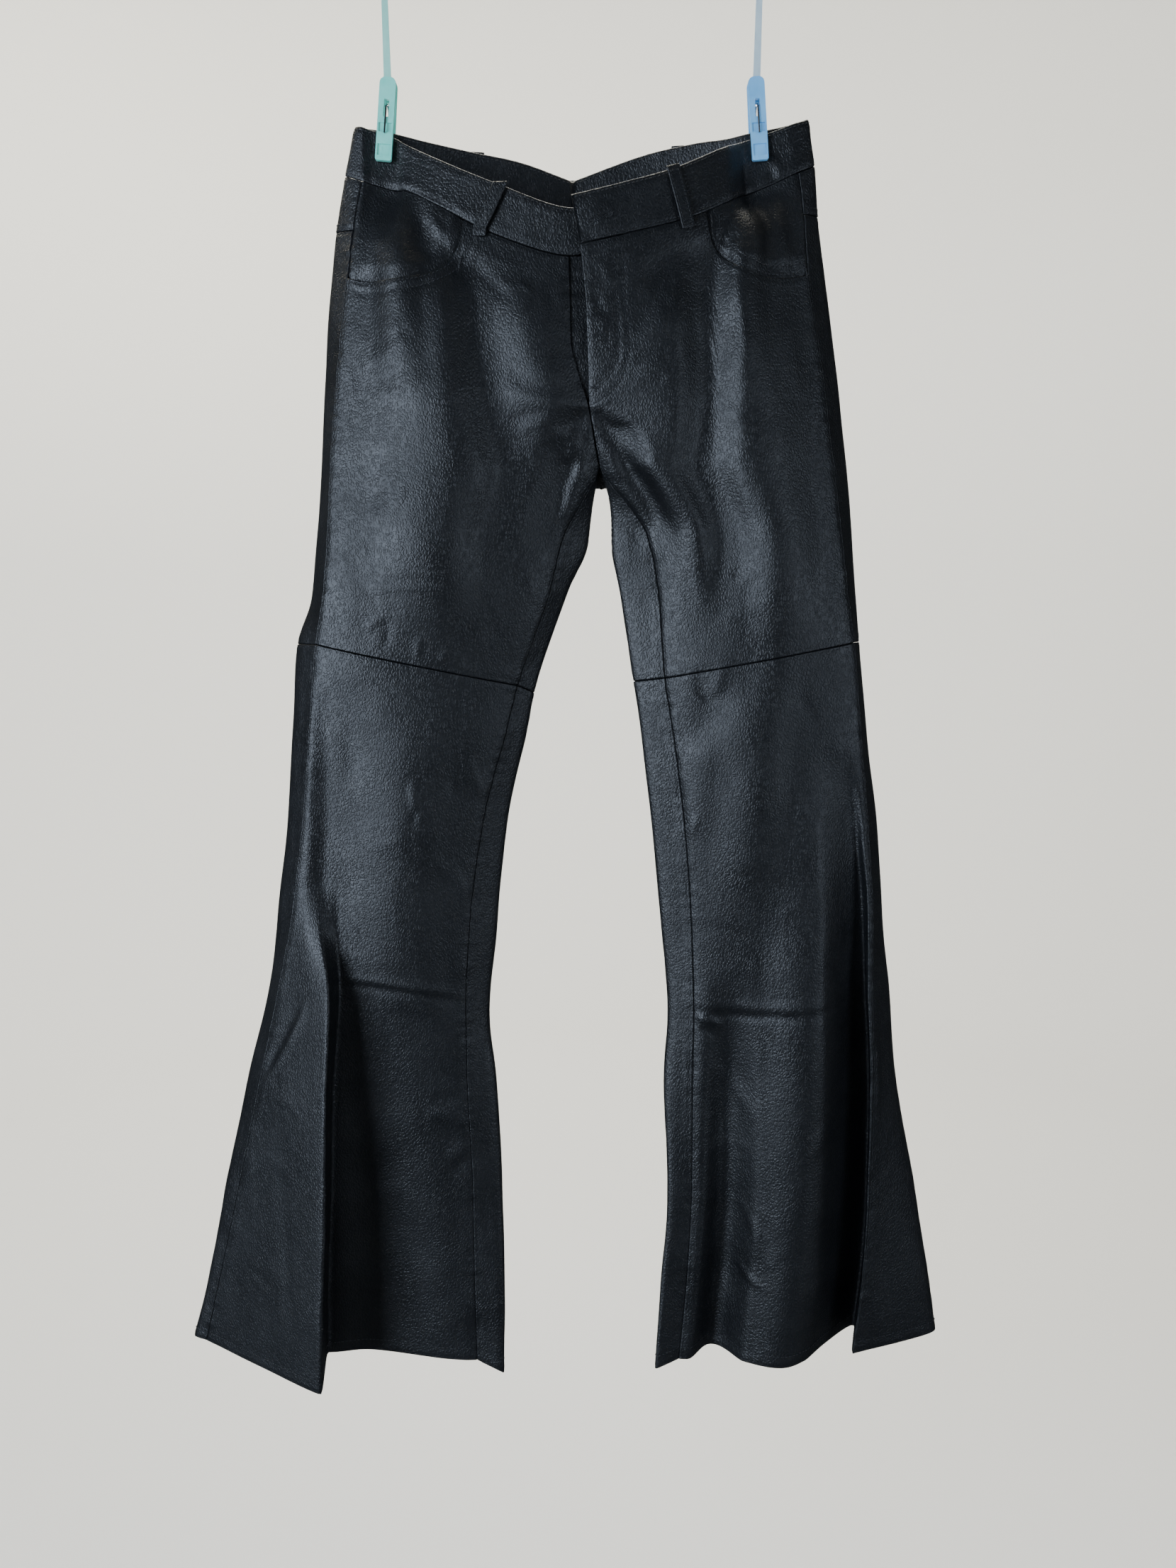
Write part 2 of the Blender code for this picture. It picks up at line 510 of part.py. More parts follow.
def shin_columns(leg, front, along):
    """Across of the front shin's columns in each row: even, but where the flare has its knife edge
    one column keeps to the edge and the rest share out the two sides."""
    trim = SEAM_GAP / 2 / front.length(KNEE + 4)
    even_columns = np.repeat(np.linspace(0, 1, SHIN_COLUMNS)[None, :], len(along), 0)
    if leg.crest is None:
        return np.clip(even_columns, trim, 1 - trim)
    crest = crest_share(front, np.maximum(along, leg.crest.top), 0.08, leg.crest.high)[:, None]
    outer, inner = np.linspace(0, 1, leg.crest.columns), np.linspace(0, 1, SHIN_COLUMNS - leg.crest.columns + 1)
    edge = np.concatenate([crest * outer, crest + (1 - crest) * inner[None, 1:] ** 1.25], axis=1)
    return np.clip(edge, trim, 1 - trim)


def build_fronts(leg, front, cloth):
    gap = section_gap(leg, KNEE)
    trim = SEAM_GAP / 2 / front.length(WAIST + 3)
    mouth = leg.mouth.width * np.sin(np.linspace(0, math.pi / 2, 11))
    inner = 1 - np.linspace(1, 0, 12)[1:] ** 1.6          # closer together towards the fork
    across = np.concatenate([mouth, leg.mouth.width + (1 - leg.mouth.width) * inner])
    top = mouth_line(leg, across)
    across = np.clip(across, trim, 1 - trim)[None, :]
    share = THIGH_ROWS[:, None] / KNEE
    panel("front_thigh_" + leg.name, front, top + (KNEE - gap - top) * share, across, CLOTH, cloth)

    along = np.linspace(KNEE + gap, HEM, SHIN_ROWS)
    panel("front_shin_" + leg.name, front, along[:, None], shin_columns(leg, front, along), CLOTH, cloth)

    across = np.append(mouth, leg.mouth.width + 0.04)
    line = mouth_line(leg, across)
    across = np.clip(across, trim, 1)[None, :]
    below = np.linspace(-1, 1, 11)[:, None]
    along = np.where(below < 0, line * (1 + below), line + POCKET_HEM / SECTION_STEP * below)
    covered = np.clip(1.0 + (along - line) / FACING_DIP, 0, 1)
    covered = covered * covered * (3 - 2 * covered)
    inward = (FACING_SINK + (CLOTH + LAYER_GAP - FACING_SINK) * covered)[..., None]
    panel("pocket_facing_" + leg.name, front, along, across, FACING, cloth, inward)


def build_backs(leg, back, cloth):
    yoke_gap = section_gap(leg, YOKE)
    knee_gap = section_gap(leg, KNEE)
    across = spaced(0, 1, 16, back, YOKE)[None, :]
    panel("back_yoke_" + leg.name, back, np.linspace(0, YOKE - yoke_gap, 5)[:, None], across, CLOTH, cloth)
    along = THIGH_ROWS[THIGH_ROWS >= YOKE] * (KNEE - knee_gap) / KNEE
    along[0] = YOKE + yoke_gap
    panel("back_thigh_" + leg.name, back, along[:, None], across, CLOTH, cloth)
    across = spaced(0, 1, 18, back, KNEE + 4)[None, :]
    along = np.linspace(KNEE + knee_gap, HEM, SHIN_ROWS)[:, None]
    panel("back_shin_" + leg.name, back, along, across, CLOTH, cloth)


def band_grid(leg, per_span):
    """The outer face and its normals, shape (heights, stations, 3), the top edge first."""
    last = len(leg.band) - 1
    top = band_edge(leg, 0, last, "top", per_span)
    bottom = band_edge(leg, 0, last, "bottom", per_span)
    shares = np.linspace(0, 1, 4)[:, None, None]
    outer = top + (bottom - top) * shares
    along = np.gradient(outer, axis=1)
    down = np.broadcast_to(bottom - top, outer.shape)
    normal = unit(np.cross(down, along) * leg.side)
    return outer, normal


def build_waistband(leg, cloth):
    outer, normal = band_grid(leg, 3)
    outer = outer.copy()
    outer[:, -1, 0] += leg.side * SEAM_GAP / 2
    normal[:, -1] = unit(normal[:, -1] * np.array([0, 1, 1]))
    wall_solid("waistband_" + leg.name, outer, outer - normal * BAND, cloth)


def build_belt_loop(name, leg, top_station, bottom_station, below, cloth):
    """A strip over the waistband, from just above it to below it, standing off its outer face."""
    outer, normal = band_grid(leg, 12)
    t = np.array([-0.03, 0.06, 0.35, 0.65, 0.95, 1.0 + below])
    station = (top_station + (bottom_station - top_station) * t) * 12
    height = np.clip(t, 0, 1) * 3
    centre, out = [], []
    for s, h in zip(station, height):
        i, j = min(int(h), 2), min(int(s), outer.shape[1] - 2)
        dh, ds = h - i, s - j
        a = outer[i, j] * (1 - ds) + outer[i, j + 1] * ds
        b = outer[i + 1, j] * (1 - ds) + outer[i + 1, j + 1] * ds
        centre.append(a + (b - a) * dh)
        out.append(unit(normal[i, j]))
    centre, out = np.array(centre), np.array(out)
    drop = outer[3] - outer[0]
    for k, share in enumerate(t):
        centre[k] += drop[min(int(station[k]), len(drop) - 1)] * (share - np.clip(share, 0, 1))
    run = np.gradient(centre, axis=0)
    sideways = unit(np.cross(run, out))
    stand = np.array([0.5, 1.2, 1.8, 2.2, 2.2, 2.6])[:, None]
    middle = centre + out * stand
    half = sideways * LOOP_WIDTH / 2
    inner = np.stack([middle - half, middle + half], axis=1)
    wall_solid(name, inner + out[:, None] * LOOP_WALL, inner, cloth)


def build_fly(surfaces, cloth, metal):
    """The underlap behind the placket, and the closed zip, its slider and the waist button that the
    placket hides."""
    left = surfaces["left"][0]
    right = surfaces["right"][0]
    along = np.linspace(0.0, 2.86, 9)
    left_edge = left.at(along, 1.0)
    width = np.interp(along, [0, 2.0, 2.9], [44, 36, 12])
    shares = np.array([0.0, 0.35, 0.7, 1.0])
    x = left_edge[:, None, 0] - 5 + width[:, None] * shares
    y = np.repeat(left_edge[:, None, 1] + CLOTH + 0.8, len(shares), 1)
    z = np.repeat(left_edge[:, None, 2], len(shares), 1)
    outer = np.stack([x, y, z], -1)
    wall_solid("fly_underlap", outer, outer + np.array([0, CLOTH, 0]), cloth)

    zip_along = np.linspace(0.12, 2.3, 8)
    right_edge = right.at(zip_along, 0.93)
    underlap_y = left.at(zip_along, 1.0)[:, 1] + CLOTH + 0.8
    middle_y = (right_edge[:, 1] + CLOTH + underlap_y) / 2 + 0.3
    tape = np.array([-4.5, 4.5])
    outer = np.stack(np.broadcast_arrays(24 + tape[None, :], middle_y[:, None] - 0.5,
                                         right_edge[:, 2:3]), -1)
    wall_solid("fly_zip", outer, outer + np.array([0, 1.0, 0]), metal)
    top = outer[0].mean(axis=0)
    box("zip_slider", (top[0], top[1] - 2.2, top[2] - 8), (7.5, 1.8, 11), metal, 0.5)


def box(name, centre, size, finish, bevel=0.0):
    """A block with bevelled edges."""
    work = bmesh.new()
    bmesh.ops.create_cube(work, size=1.0)
    bmesh.ops.scale(work, vec=size, verts=work.verts)
    if bevel:
        bmesh.ops.bevel(work, geom=work.edges[:], offset=bevel, segments=1, affect="EDGES", profile=0.5)
    bmesh.ops.translate(work, vec=centre, verts=work.verts)
    vertices = [v.co[:] for v in work.verts]
    faces = [[v.index for v in f.verts] for f in work.faces]
    work.free()
    return add_object(name, vertices, faces, finish)


def build_button(metal):
    """A round button, its axis along Y, on the underlap of the left waistband."""
    radius, wall, rim, sides = 8.0, 3.2, 0.8, 24
    x, y, z = 26.0, -33.0, -204.0
    profile = [(0.0, 0.0), (radius - rim, 0.0), (radius, rim), (radius, wall - rim),
               (radius - rim, wall), (0.0, wall)]
    angle = np.arange(sides) * 2 * math.pi / sides
    rings = [np.stack([x + r * np.cos(angle), np.full(sides, y + d), z + r * np.sin(angle)], -1)
             for r, d in profile[1:-1]]
    vertices = np.concatenate([np.array([[x, y, z]]), *rings, np.array([[x, y + wall, z]])])
    faces = []
    for k in range(sides):
        n = (k + 1) % sides
        faces.append((0, 1 + n, 1 + k))
        for ring in range(len(rings) - 1):
            a, b = 1 + ring * sides, 1 + (ring + 1) * sides
            faces.append((a + k, a + n, b + n, b + k))
        last = 1 + (len(rings) - 1) * sides
        faces.append((last + k, last + n, len(vertices) - 1))
    add_object("waist_button", vertices, faces, metal)


# ---------------------------------------------------------------- pegs and rail
def rounded_outline(width, length, corner, top_radius):
    """Outline of a jaw in its own plane, foot corners small and top end rounder, anticlockwise."""
    points = []
    for x, z, radius, start in (
        (width / 2, length, top_radius, 0), (-width / 2, length, top_radius, 90),
        (-width / 2, 0, corner, 180), (width / 2, 0, corner, 270),
    ):
        cx = x - math.copysign(radius, x)
        cz = z - radius if z > 0 else radius
        for k in range(5):
            a = math.radians(start + k * 22.5)
            points.append((cx + radius * math.cos(a), cz + radius * math.sin(a)))
    return points


def peg_frame(peg):
    """From a peg's own x, y and z, its foot's middle at nought, to the model's."""
    lean = math.radians(peg.lean)

    def place(points):
        p = np.asarray(points, float)
        x = peg.x + p[..., 0] * math.cos(lean) - p[..., 2] * math.sin(lean)
        z = peg.z + p[..., 0] * math.sin(lean) + p[..., 2] * math.cos(lean)
        return np.stack([x, p[..., 1], z], -1)

    return place


JAW_FOOT = 4.6           # y of a jaw's inner face at its foot, outside the cloth
JAW_TOP = 1.2            # and at its top, outside the strap
Window = namedtuple("Window", "z half_width half_height through")
JAW_WINDOWS = (
    Window(39.0, 1.9, 6.5, True),      # slot that the spring goes through
    Window(24.5, 5.0, 3.4, False),
    Window(8.0, 5.0, 4.2, False),
)
WINDOW_DEPTH = 1.1


def build_jaw(peg, front, plastic):
    """A flat bar with a rounded top, its recesses and slot cut out, tilted to follow the cloth."""
    sign = -1 if front else 1
    place = peg_frame(peg)
    name = "peg_{}_{}_jaw".format(peg.name, "front" if front else "back")
    outline = rounded_outline(PEG_WIDTH, PEG_LENGTH, 1.5, 4.5)

    def slab(points, near, far):
        """Points of an outline at two depths, on the jaw's tilted faces."""
        rings = []
        for depth in (near, far):
            rings.append([(x, sign * (JAW_FOOT + (JAW_TOP - JAW_FOOT) * z / PEG_LENGTH + depth), z)
                          for x, z in points])
        return np.array(rings[0] + rings[1])

    def closed(label, points, near, far):
        count = len(points)
        vertices = place(slab(points, near, far))
        faces = [tuple(range(count)), tuple(range(2 * count - 1, count - 1, -1))]
        faces += [(k, (k + 1) % count, count + (k + 1) % count, count + k) for k in range(count)]
        return add_object(label, vertices, faces, plastic)

    jaw = closed(name, outline, 0.0, JAW_WALL)
    for number, window in enumerate(JAW_WINDOWS):
        w, h = window.half_width, window.half_height
        corners = [(w, window.z + h), (-w, window.z + h), (-w, window.z - h), (w, window.z - h)]
        near = -1.0 if window.through else JAW_WALL - WINDOW_DEPTH
        cutter = closed("{}_cut_{}".format(name, number), corners, near, JAW_WALL + 1.0)
        cutter.hide_render = True
        cutter.display_type = "WIRE"
        cut = jaw.modifiers.new("window", "BOOLEAN")
        cut.operation = "DIFFERENCE"
        cut.solver = "EXACT"
        cut.object = cutter


def tube(name, route, radius, sides, finish, closed_loop=False):
    """A round wire along a route, its ends capped."""
    route = np.asarray(route, float)
    tangent = unit(np.gradient(route, axis=0))
    helper = np.array([1.0, 0.0, 0.0])
    u = unit(np.cross(tangent, helper))
    w = np.cross(tangent, u)
    angle = np.arange(sides) * 2 * math.pi / sides
    rings = route[:, None] + radius * (u[:, None] * np.cos(angle)[None, :, None]
                                       + w[:, None] * np.sin(angle)[None, :, None])
    count = len(route)
    vertices = rings.reshape(-1, 3)
    faces = []
    for i in range(count - 1):
        for k in range(sides):
            n = (k + 1) % sides
            faces.append((i * sides + k, i * sides + n, (i + 1) * sides + n, (i + 1) * sides + k))
    faces.append(tuple(range(sides)))
    faces.append(tuple(range((count - 1) * sides, count * sides)))
    return add_object(name, vertices, faces, finish)


def build_spring(peg, metal):
    """A bent wire: a leg down each jaw's outer face and a crown through both slots."""
    place = peg_frame(peg)

    def face(z):
        return JAW_FOOT + (JAW_TOP - JAW_FOOT) * z / PEG_LENGTH + JAW_WALL + WIRE_RADIUS + 0.3

    crown_z, bend_z, foot_z = 42.5, 40.0, 20.0
    leg_down = [(0, -face(z), z) for z in (foot_z, 26.0, 33.0, bend_z)]
    leg_up = [(0, face(z), z) for z in (bend_z, 33.0, 26.0, foot_z)]
    crown = [(0, y, crown_z - 0.06 * y * y * 0.6) for y in (-4.2, -2.1, 0.0, 2.1, 4.2)]
    tube("peg_{}_spring".format(peg.name), place(leg_down + crown + leg_up), WIRE_RADIUS, 6, metal)


def build_strap(peg, plastic):
    """A flat strap from between the jaws up to a loop round the rail."""
    foot_z = peg.z + 47.0
    loop_out = RAIL_RADIUS + 0.4 + STRAP_WALL
    loop_in = RAIL_RADIUS + 0.4
    half = STRAP_WALL / 2
    start = math.asin(half / loop_out)
    outline = [(-half, foot_z), (half, foot_z)]
    steps = 14
    for k in range(steps + 1):
        a = start + (2 * math.pi - 2 * start) * k / steps
        outline.append((loop_out * math.sin(a), -loop_out * math.cos(a)))
    hole = [(loop_in * math.sin(2 * math.pi * k / 14), -loop_in * math.cos(2 * math.pi * k / 14))
            for k in range(14)]
    lean = (peg.x + math.sin(math.radians(-peg.lean)) * 50.0 - peg.strap_x) / foot_z

    def layer(points, side):
        placed = []
        for y, z in points:
            width = 2.9 - 0.7 * (1 - min(z / foot_z, 1)) if z < 0 else 2.2
            placed.append((peg.strap_x + lean * min(z, 0) + side * width, y, z))
        return placed

    count, inner = len(outline), len(hole)
    vertices = layer(outline, -1) + layer(outline, 1) + layer(hole, -1) + layer(hole, 1)
    work = bmesh.new()
    verts = [work.verts.new(v) for v in vertices]
    for base, hole_base in ((0, 2 * count), (count, 2 * count + inner)):
        ring = [verts[base + k] for k in range(count)]
        small = [verts[hole_base + k] for k in range(inner)]
        edges = [work.edges.new((ring[k], ring[(k + 1) % count])) for k in range(count)]
        edges += [work.edges.new((small[k], small[(k + 1) % inner])) for k in range(inner)]
        bmesh.ops.triangle_fill(work, use_beauty=True, use_dissolve=False, edges=edges)
    for base, size in ((0, count), (2 * count, inner)):
        for k in range(size):
            n = (k + 1) % size
            work.faces.new((verts[base + k], verts[base + n], verts[base + size + n],
                            verts[base + size + k]))
    work.verts.index_update()
    vertices = [v.co[:] for v in work.verts]
    faces = [[v.index for v in f.verts] for f in work.faces]
    work.free()
    add_object("peg_{}_strap".format(peg.name), vertices, faces, plastic)


def build_rail(metal):
    """A plain round rail along X with rounded ends."""
    sides = 20
    stations = [(-RAIL_HALF_LENGTH, 0.62), (-RAIL_HALF_LENGTH + 0.8, 0.9), (-RAIL_HALF_LENGTH + 2, 1.0),
                (RAIL_HALF_LENGTH - 2, 1.0), (RAIL_HALF_LENGTH - 0.8, 0.9), (RAIL_HALF_LENGTH, 0.62)]
    angle = np.arange(sides) * 2 * math.pi / sides
    vertices = np.concatenate([
        np.stack([np.full(sides, x), RAIL_RADIUS * r * np.cos(angle), RAIL_RADIUS * r * np.sin(angle)], -1)
        for x, r in stations])
    faces = [tuple(range(sides)), tuple(range((len(stations) - 1) * sides, len(stations) * sides))]
    for i in range(len(stations) - 1):
        for k in range(sides):
            n = (k + 1) % sides
            faces.append((i * sides + k, i * sides + n, (i + 1) * sides + n, (i + 1) * sides + k))
    add_object("hanging_rail", vertices, faces, metal)


def main():
    for old in list(bpy.data.objects):
        bpy.data.objects.remove(old, do_unlink=True)
    cloth = material("black_faux_leather", (0.008, 0.009, 0.011), 0.38)
    metal = material("dark_metal", (0.10, 0.10, 0.10), 0.4, 1.0)
    steel = material("steel", (0.55, 0.55, 0.55), 0.3, 1.0)
    plastics = {
        "left": material("turquoise_plastic", (0.25, 0.68, 0.62), 0.4),
        "right": material("pale_blue_plastic", (0.40, 0.66, 0.78), 0.4),
    }

    surfaces = leg_surfaces()
    for leg in LEGS:
        front, back = surfaces[leg.name]
        build_fronts(leg, front, cloth)
        build_backs(leg, back, cloth)
        build_waistband(leg, cloth)
    left, right = LEGS
    build_belt_loop("belt_loop_front_left", left, 1.9, 2.2, 0.2, cloth)
    build_belt_loop("belt_loop_front_right", right, 2.0, 2.0, 0.25, cloth)
    build_belt_loop("belt_loop_back_left", left, 13.1, 13.1, 0.2, cloth)
    build_belt_loop("belt_loop_back_right", right, 13.3, 13.3, 0.2, cloth)
    build_belt_loop("belt_loop_back_centre", right, 15.0, 15.0, 0.2, cloth)
    build_fly(surfaces, cloth, metal)
    build_button(metal)
    for peg in PEGS:
        build_jaw(peg, True, plastics[peg.name])
        build_jaw(peg, False, plastics[peg.name])
        build_spring(peg, steel)
        build_strap(peg, plastics[peg.name])
    build_rail(steel)


main()
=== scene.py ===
"""Looks of the faux leather flared trousers that hang by two plastic pegs from a plain rail.

Shapes are worked out in millimetres, in the same frame as the solids: +X is the viewer's right, the
front faces -Y, +Z is up and the origin is the middle of the rail. Left and right are the viewer's.

Each leg is one surface of sections from the waist seam to the hem, worked out from the same tables as
its solids, and every sewn panel is a patch of it. `along` counts the sections downwards: 0 is the waist
seam, 8 the knee seam and 16 the hem. `across` is the share of a row's length, 0 where the row starts: at
the outseam on a front, at the centre back or the inseam on a back.
"""

from collections import namedtuple
import math

import bpy
import numpy as np
from mathutils import Euler, Matrix, Vector


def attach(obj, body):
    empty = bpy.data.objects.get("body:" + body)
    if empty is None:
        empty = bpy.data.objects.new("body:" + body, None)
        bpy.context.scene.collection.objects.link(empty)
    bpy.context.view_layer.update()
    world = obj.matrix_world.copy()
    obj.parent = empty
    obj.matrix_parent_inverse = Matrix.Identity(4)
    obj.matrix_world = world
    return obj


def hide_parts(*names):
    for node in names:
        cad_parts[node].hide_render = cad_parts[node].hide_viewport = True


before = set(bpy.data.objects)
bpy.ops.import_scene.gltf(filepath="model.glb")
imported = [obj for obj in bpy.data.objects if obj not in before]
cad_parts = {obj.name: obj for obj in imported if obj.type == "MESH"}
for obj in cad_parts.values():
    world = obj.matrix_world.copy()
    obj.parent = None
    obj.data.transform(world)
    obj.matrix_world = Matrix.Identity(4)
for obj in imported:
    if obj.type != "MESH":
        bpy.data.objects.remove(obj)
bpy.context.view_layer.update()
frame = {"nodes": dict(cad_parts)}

# ---------------------------------------------------------------- sizes, millimetres
CLOTH = 1.3              # a layer of faux leather
BAND = 2.2               # waistband, two layers and their stiffening
SEAM_GAP = 0.4           # left between two pieces that are sewn together
ROLL = 0.7               # how far a panel's edge rolls into its seam
RETURN = 2.6             # how far its edge runs back inside
HEM_DEPTH = 20.0         # of the turned-up hem
SEAM_CLOSED = 0.1        # share of the gap left where front meets back, so that no light shows through
GRID = 2.2               # spacing of a panel's points away from its seams
POCKET_HEM = 13.0
FACING_SINK = 0.35
LOOP_WIDTH = 10.5
LOOP_WALL = 1.7
STITCH = 3.4             # one stitch and its gap
THREAD = 0.34            # radius of the thread
ON_TOP = 0.05            # stitches start this far above the face

WAIST, YOKE, POCKET, HIP, RISE, FORK, THIGH, MIDTHIGH, KNEE = range(9)
HEM = 16

# One row for each section of a leg, waist seam to hem. x and y of the outer edge of the tube, the
# outseam, the centre front or inseam, and the inner edge of the tube, which above the fork is the
# first stretch of the back beside its centre seam. belly is how far the front bows forward of its
# two seams, seat is the y of the back.
Section = namedtuple("Section", "z_out z_in z_inner x_outer x_out x_in x_inner "
                                "y_outer y_out y_in y_inner belly seat")
LEFT_SECTIONS = [
    #       z_out   z_in z_inner outer   out    in  inner  y_outer out  in inner belly seat
    Section(-168, -228, -195, -175.0, -160.0, 1.0, -9.0, 4, -6, -27, 27, 3, 26),         # waist seam
    Section(-204, -261, -258, -183.5, -168.0, 1.5, -9.0, 4, -10, -30, 31, 6, 30),        # yoke seam
    Section(-241, -293, -296, -189.0, -173.0, 2.0, -9.0, 4, -14, -32, 34, 9, 33),        # pocket's foot
    Section(-312, -341, -341, -196.0, -183.0, 15.0, -2.0, 4, -16, -29, 36, 13, 35),      # hip
    Section(-347, -363, -397, -199.0, -187.0, 19.0, 10.0, 4, -17, -22, 27, 15, 34),      # rise
    Section(-380, -385, -403, -201.5, -190.5, 23.0, 17.0, 4, -18, -14, 2, 17, 32),       # fork
    Section(-433, -443, -445, -207.0, -194.5, -7.0, 14.0, 4, -20, -10, 6, 18, 28),       # thigh
    Section(-486, -486, -486, -214.5, -200.5, -18.0, -4.0, 4, -20, -10, 6, 17, 26),      # middle thigh
    Section(-525, -560, -567, -228.0, -208.0, -45.0, -32.0, 4, -18, -10, 2, 14, 24),     # knee seam
    Section(-594, -602, -601, -235.0, -216.0, -56.0, -39.0, 4, -18, -12, 2, 13, 24),
    Section(-665, -667, -669, -242.0, -224.0, -74.0, -55.0, 4, -18, -14, 0, 12, 24),
    Section(-755, -758, -762, -255.0, -238.0, -88.0, -66.0, 4, -18, -16, -2, 11, 25),
    Section(-797, -837, -842, -260.0, -247.5, -93.0, -74.0, 4, -18, -18, -4, 10, 26),    # packing crease
    Section(-900, -893, -896, -287.0, -272.5, -93.0, -69.0, 4, -16, -20, -8, 8, 27),
    Section(-998, -994, -997, -311.0, -297.0, -90.0, -65.0, 4, -12, -24, -16, 6, 28),
    Section(-1082, -1070, -1072, -330.0, -318.5, -90.0, -64.0, 4, -8, -28, -24, 5, 29),
    Section(-1143, -1147, -1157, -347.0, -334.0, -89.0, -65.0, 4, -6, -32, -34, 4, 30),  # hem
]
RIGHT_SECTIONS = [
    Section(-164, -223, -195, 193.5, 180.0, 10.0, 19.0, 4, -6, -36, 27, 3, 26),          # waist seam
    Section(-195, -262, -258, 197.0, 184.5, 13.0, 20.0, 4, -10, -38, 31, 6, 30),         # yoke seam
    Section(-241, -293, -296, 204.0, 188.0, 14.0, 21.0, 4, -14, -37, 34, 9, 33),         # pocket's foot
    Section(-315, -341, -341, 215.0, 199.5, 15.0, 29.0, 4, -16, -29, 36, 13, 35),        # hip
    Section(-350, -363, -397, 219.5, 204.5, 19.0, 37.0, 4, -17, -22, 27, 15, 34),        # rise
    Section(-383, -385, -403, 224.0, 209.0, 23.0, 32.0, 4, -18, -14, 2, 17, 32),         # fork
    Section(-436, -440, -446, 229.0, 216.5, 62.0, 33.0, 4, -18, -5, 6, 18, 28),          # thigh
    Section(-489, -486, -486, 233.5, 223.5, 71.0, 39.5, 4, -18, -6, 6, 17, 26),          # middle thigh
    Section(-527, -555, -558, 237.0, 229.5, 76.0, 50.5, 4, -18, -8, 4, 15, 24),          # knee seam
    Section(-614, -601, -601, 247.0, 238.0, 83.0, 56.5, 4, -18, -10, 2, 14, 24),
    Section(-685, -685, -687, 257.0, 245.0, 93.0, 66.0, 4, -18, -12, 0, 13, 24),
    Section(-759, -760, -763, 263.0, 250.0, 98.0, 73.0, 4, -20, -14, -2, 12, 25),
    Section(-820, -838, -838, 270.5, 250.5, 100.0, 78.5, 4, -22, -18, -6, 11, 26),       # packing crease
    Section(-900, -894, -896, 278.5, 253.0, 99.0, 75.0, 3, -25, -20, -10, 9, 27),
    Section(-1000, -994, -997, 296.5, 251.0, 98.0, 77.5, 0, -30, -26, -22, 6, 28),
    Section(-1069, -1070, -1072, 307.5, 246.5, 94.0, 71.5, -4, -34, -30, -30, 4, 29),
    Section(-1140, -1146, -1150, 318.0, 237.5, 87.0, 65.5, -6, -38, -34, -40, 3, 30),    # hem
]

# The centre front seam, hip to fork, and the centre back seam, waist seam to fork, where they meet
# both inseams.
SeamPoint = namedtuple("SeamPoint", "x y z")
CENTRE_FRONT = [
    SeamPoint(15, -29, -341),
    SeamPoint(19, -22, -363),
    SeamPoint(23, -14, -385),
]
CENTRE_BACK = [
    SeamPoint(4, 27, -197),
    SeamPoint(6, 31, -262),
    SeamPoint(7, 34, -300),
    SeamPoint(14, 36, -345),
    SeamPoint(24, 12, -401),
    SeamPoint(23, -14, -385),
]

# A fold is a ridge (forward above nought) or a trough that runs down a panel. Its crest lies at
# start, middle and end across the panel and dies out over fade_in sections at its top and fade_out
# at its foot. reach_out and reach_in are its widths towards the outseam and away from it, as shares
# of the row, and aside moves the crest towards the outseam. soft is 1 for a knife edge with flat
# sides and 2 for a round wave.
Fold = namedtuple("Fold", "start middle end top foot reach_out reach_in forward aside "
                          "fade_in fade_out soft")
TO_SEAM = None           # reach_out of a fold whose outer side is flat as far as the outseam
LEFT_FRONT_FOLDS = [
    Fold(0.13, 0.20, 0.30, -1.0, 4.0, 0.12, 0.14, 6, 0, 0.6, 2.5, 2.0),         # below the peg
    Fold(0.40, 0.45, 0.60, 1.0, 8.6, 0.36, 0.19, 9, 0, 2.5, 3.0, 2.0),         # thigh's ridge
    Fold(0.54, 0.67, 0.84, 0.6, 8.0, 0.16, 0.24, -5, 0, 2.0, 3.0, 2.0),         # thigh's trough
    Fold(0.86, 0.87, 0.88, 0.8, 7.0, 0.24, 0.12, 3, 0, 2.0, 2.5, 2.0),          # beside the fly
    Fold(0.98, 0.87, 0.98, 3.1, 6.6, 0.11, 0.08, -5, 0, 0.8, 1.4, 1.8),         # fork's trough
    Fold(0.08, 0.16, 0.26, 8.3, 12.4, 0.12, 0.44, -5, 0, 1.8, 1.6, 2.0),        # side of the shin
    Fold(0.56, 0.66, 0.80, 8.0, 12.8, 0.40, 0.20, 3, 0, 2.0, 1.8, 2.0),
    Fold(0.12, 0.26, 0.34, 10.6, 16.0, TO_SEAM, 0.12, 62, -36, 5.4, 0.0, 1.15),  # flare's knife edge
    Fold(0.34, 0.56, 0.62, 11.5, 16.0, 0.16, 0.30, -8, 0, 4.0, 0.0, 2.0),       # trough beside it
]
